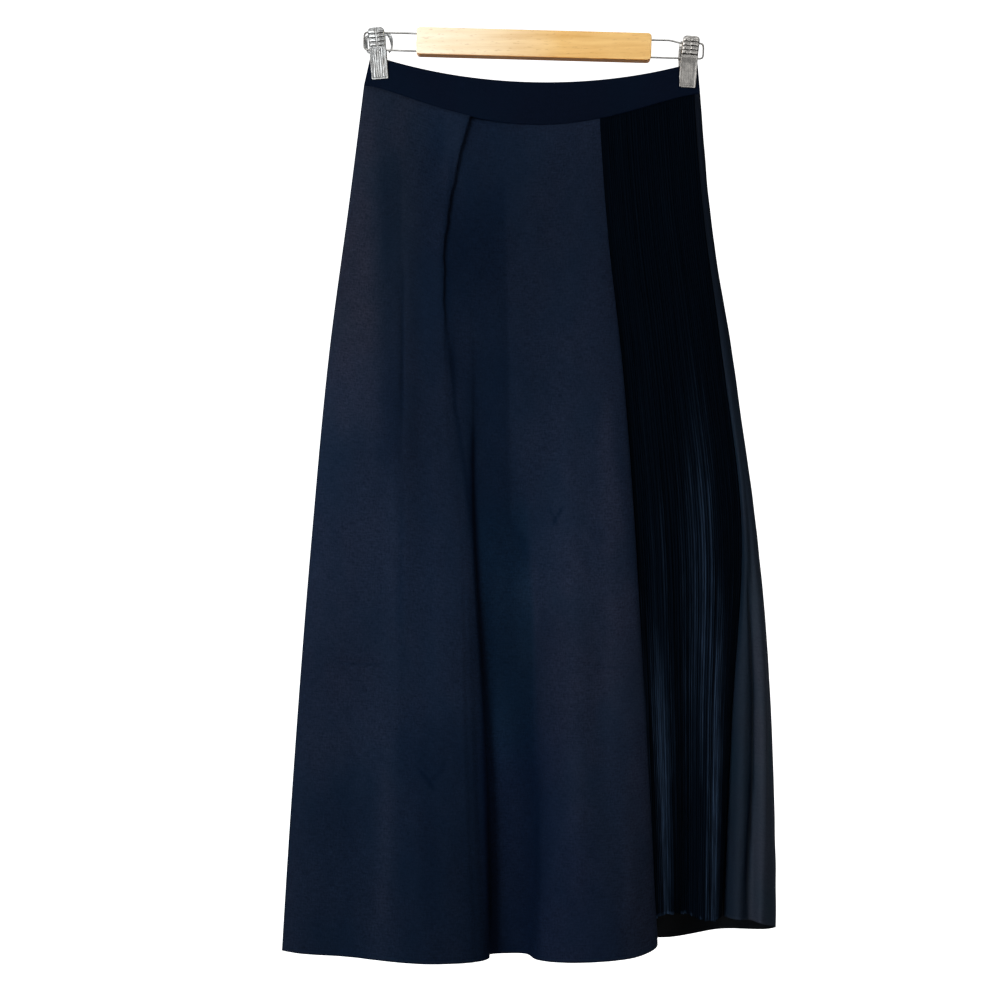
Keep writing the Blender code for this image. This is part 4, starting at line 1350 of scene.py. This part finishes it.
def add_hanger():
    """The bar's lacquered wood, and the detailed clips, springs and wires."""
    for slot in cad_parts["hanger_bar"].material_slots:
        slot.material = wood_material()
    wire = steel_material("steel_wire", WIRE_PALE, WIRE_DEEP, 0.2, (60, 900, 900))
    for side in SIDES:
        name = "chrome_" + side.name
        chrome = steel_material(name, side.pale, CHROME_DEEP, 0.18, (1500, 60, 60))
        add_jaw(side, -1, chrome)
        add_jaw(side, 1, chrome)
        add_spring(side, wire)
        for arm in ARMS[side.name]:
            add_arm(side, arm, chrome)
        add_wire(side, wire)


# Stage


def stage_material(name, strength):
    """A plain pale surface that shows white."""
    material, _, shader, _ = new_material(name)
    shader.inputs["Base Color"].default_value = (0.9, 0.9, 0.9, 1.0)
    shader.inputs["Roughness"].default_value = 1.0
    shader.inputs["Specular IOR Level"].default_value = 0.0
    shader.inputs["Emission Color"].default_value = (1.0, 1.0, 1.0, 1.0)
    shader.inputs["Emission Strength"].default_value = strength
    return material


FLOOR_SIZE = 40.0
FLOOR_Z = -2.6
WALL_RADIUS = 19.0
STAGE_GLOW = 1.2


def add_stage():
    """A pale floor and a pale round wall that light nothing."""
    material = stage_material("pale_stage", STAGE_GLOW)
    bpy.ops.mesh.primitive_plane_add(size=FLOOR_SIZE, location=(0.0, 0.0, FLOOR_Z))
    floor = bpy.context.object
    floor.name = "floor"
    bpy.ops.mesh.primitive_uv_sphere_add(segments=48, ring_count=24, radius=WALL_RADIUS)
    wall = bpy.context.object
    wall.name = "wall"
    for item in (floor, wall):
        item.data.materials.append(material)
        item.visible_diffuse = False
        item.visible_glossy = False
        item.visible_transmission = False
        item.visible_shadow = False


# White cards: place, width, height and strength
CARDS = (
    ((-0.3, -6.0, 0.7), 4.6, 2.4, 0.36),
    ((-3.7, -3.0, 0.2), 3.2, 4.0, 1.8),
    ((3.8, -2.6, 0.3), 1.4, 3.0, 0.9),
    ((-1.6, -5.6, -2.1), 3.6, 3.0, 1.9),
    ((1.7, -5.2, -2.0), 2.2, 1.6, 0.75),
    ((-1.0, 5.5, 0.4), 5.0, 3.4, 0.8),
    ((0.0, -2.2, 3.9), 4.4, 3.4, 1.3),
)


def add_cards():
    """White cards round the hanger that only gloss picks up."""
    aim = Vector((0.0, 0.0, -0.02))
    for k, (place, width, height, strength) in enumerate(CARDS):
        bpy.ops.mesh.primitive_plane_add(size=1.0, location=place)
        card = bpy.context.object
        card.name = f"card_{k}"
        card.scale = (width, height, 1.0)
        card.rotation_euler = (aim - Vector(place)).to_track_quat("Z", "Y").to_euler()
        card.data.materials.append(stage_material(f"card_{k}", strength))
        card.visible_camera = False
        card.visible_diffuse = False
        card.visible_transmission = False
        card.visible_shadow = False


def add_light(name, place, aim, size, watts):
    """A soft square light that faces a point."""
    light = bpy.data.lights.new(name, "AREA")
    light.shape = "SQUARE"
    light.size = size
    light.energy = watts
    item = bpy.data.objects.new(name, light)
    bpy.context.scene.collection.objects.link(item)
    item.visible_glossy = False
    item.location = place
    item.rotation_euler = (Vector(aim) - Vector(place)).to_track_quat("-Z", "Y").to_euler()


def add_world():
    """Soft light from all round, brighter above than below."""
    world = bpy.data.worlds.new("studio")
    world.use_nodes = True
    tree = world.node_tree
    tree.nodes.clear()
    out = tree.nodes.new("ShaderNodeOutputWorld")
    sky = tree.nodes.new("ShaderNodeBackground")
    place = tree.nodes.new("ShaderNodeTexCoord")
    parts = tree.nodes.new("ShaderNodeSeparateXYZ")
    ramp = tree.nodes.new("ShaderNodeMapRange")
    ramp.inputs[1].default_value = -0.5
    ramp.inputs[2].default_value = 0.8
    ramp.inputs[3].default_value = 0.05
    ramp.inputs[4].default_value = 0.40
    tree.links.new(place.outputs["Generated"], parts.inputs[0])
    tree.links.new(parts.outputs[2], ramp.inputs[0])
    tree.links.new(ramp.outputs[0], sky.inputs["Strength"])
    tree.links.new(sky.outputs[0], out.inputs[0])
    bpy.context.scene.world = world


def add_camera():
    """The photograph's view: level, straight on, a little left of the bar's middle."""
    data = bpy.data.cameras.new("camera")
    data.sensor_width = SENSOR
    data.lens = SENSOR * -CAMERA_PLACE[1] / FRAME_WIDTH
    data.clip_end = 100.0
    camera = bpy.data.objects.new("camera", data)
    bpy.context.scene.collection.objects.link(camera)
    camera.location = CAMERA_PLACE
    camera.rotation_euler = (math.pi / 2, 0.0, 0.0)
    bpy.context.scene.camera = camera


def add_studio():
    """Floor, wall, lights and camera."""
    add_stage()
    add_cards()
    add_world()
    add_light("key", (-1.7, -1.75, -0.05), (-0.02, 0.0, -0.45), 1.0, 65.0)
    add_light("fill", (1.2, -2.0, -0.3), (0.0, 0.0, -0.5), 1.4, 17.0)
    add_light("back_left", (-1.4, 2.0, 0.3), (0.0, 0.0, -0.5), 1.4, 62.0)
    add_light("back_right", (1.5, 1.8, 0.0), (0.0, 0.0, -0.5), 1.4, 36.0)
    add_camera()
    view = bpy.context.scene.view_settings
    view.view_transform = "Standard"
    view.look = "None"
    view.exposure = 0.0
    view.gamma = 1.0


def main():
    """Build the skirt, its hanger and the studio."""
    front = add_front()
    insert = add_insert()
    back = add_back()
    band = cloth_material("waistband", BAND)
    band_front = add_band("waistband_front_cloth", -1, "waistband_front", band)
    band_back = add_band("waistband_back_cloth", 1, "waistband_back", band)
    add_hanger()
    add_studio()


main()
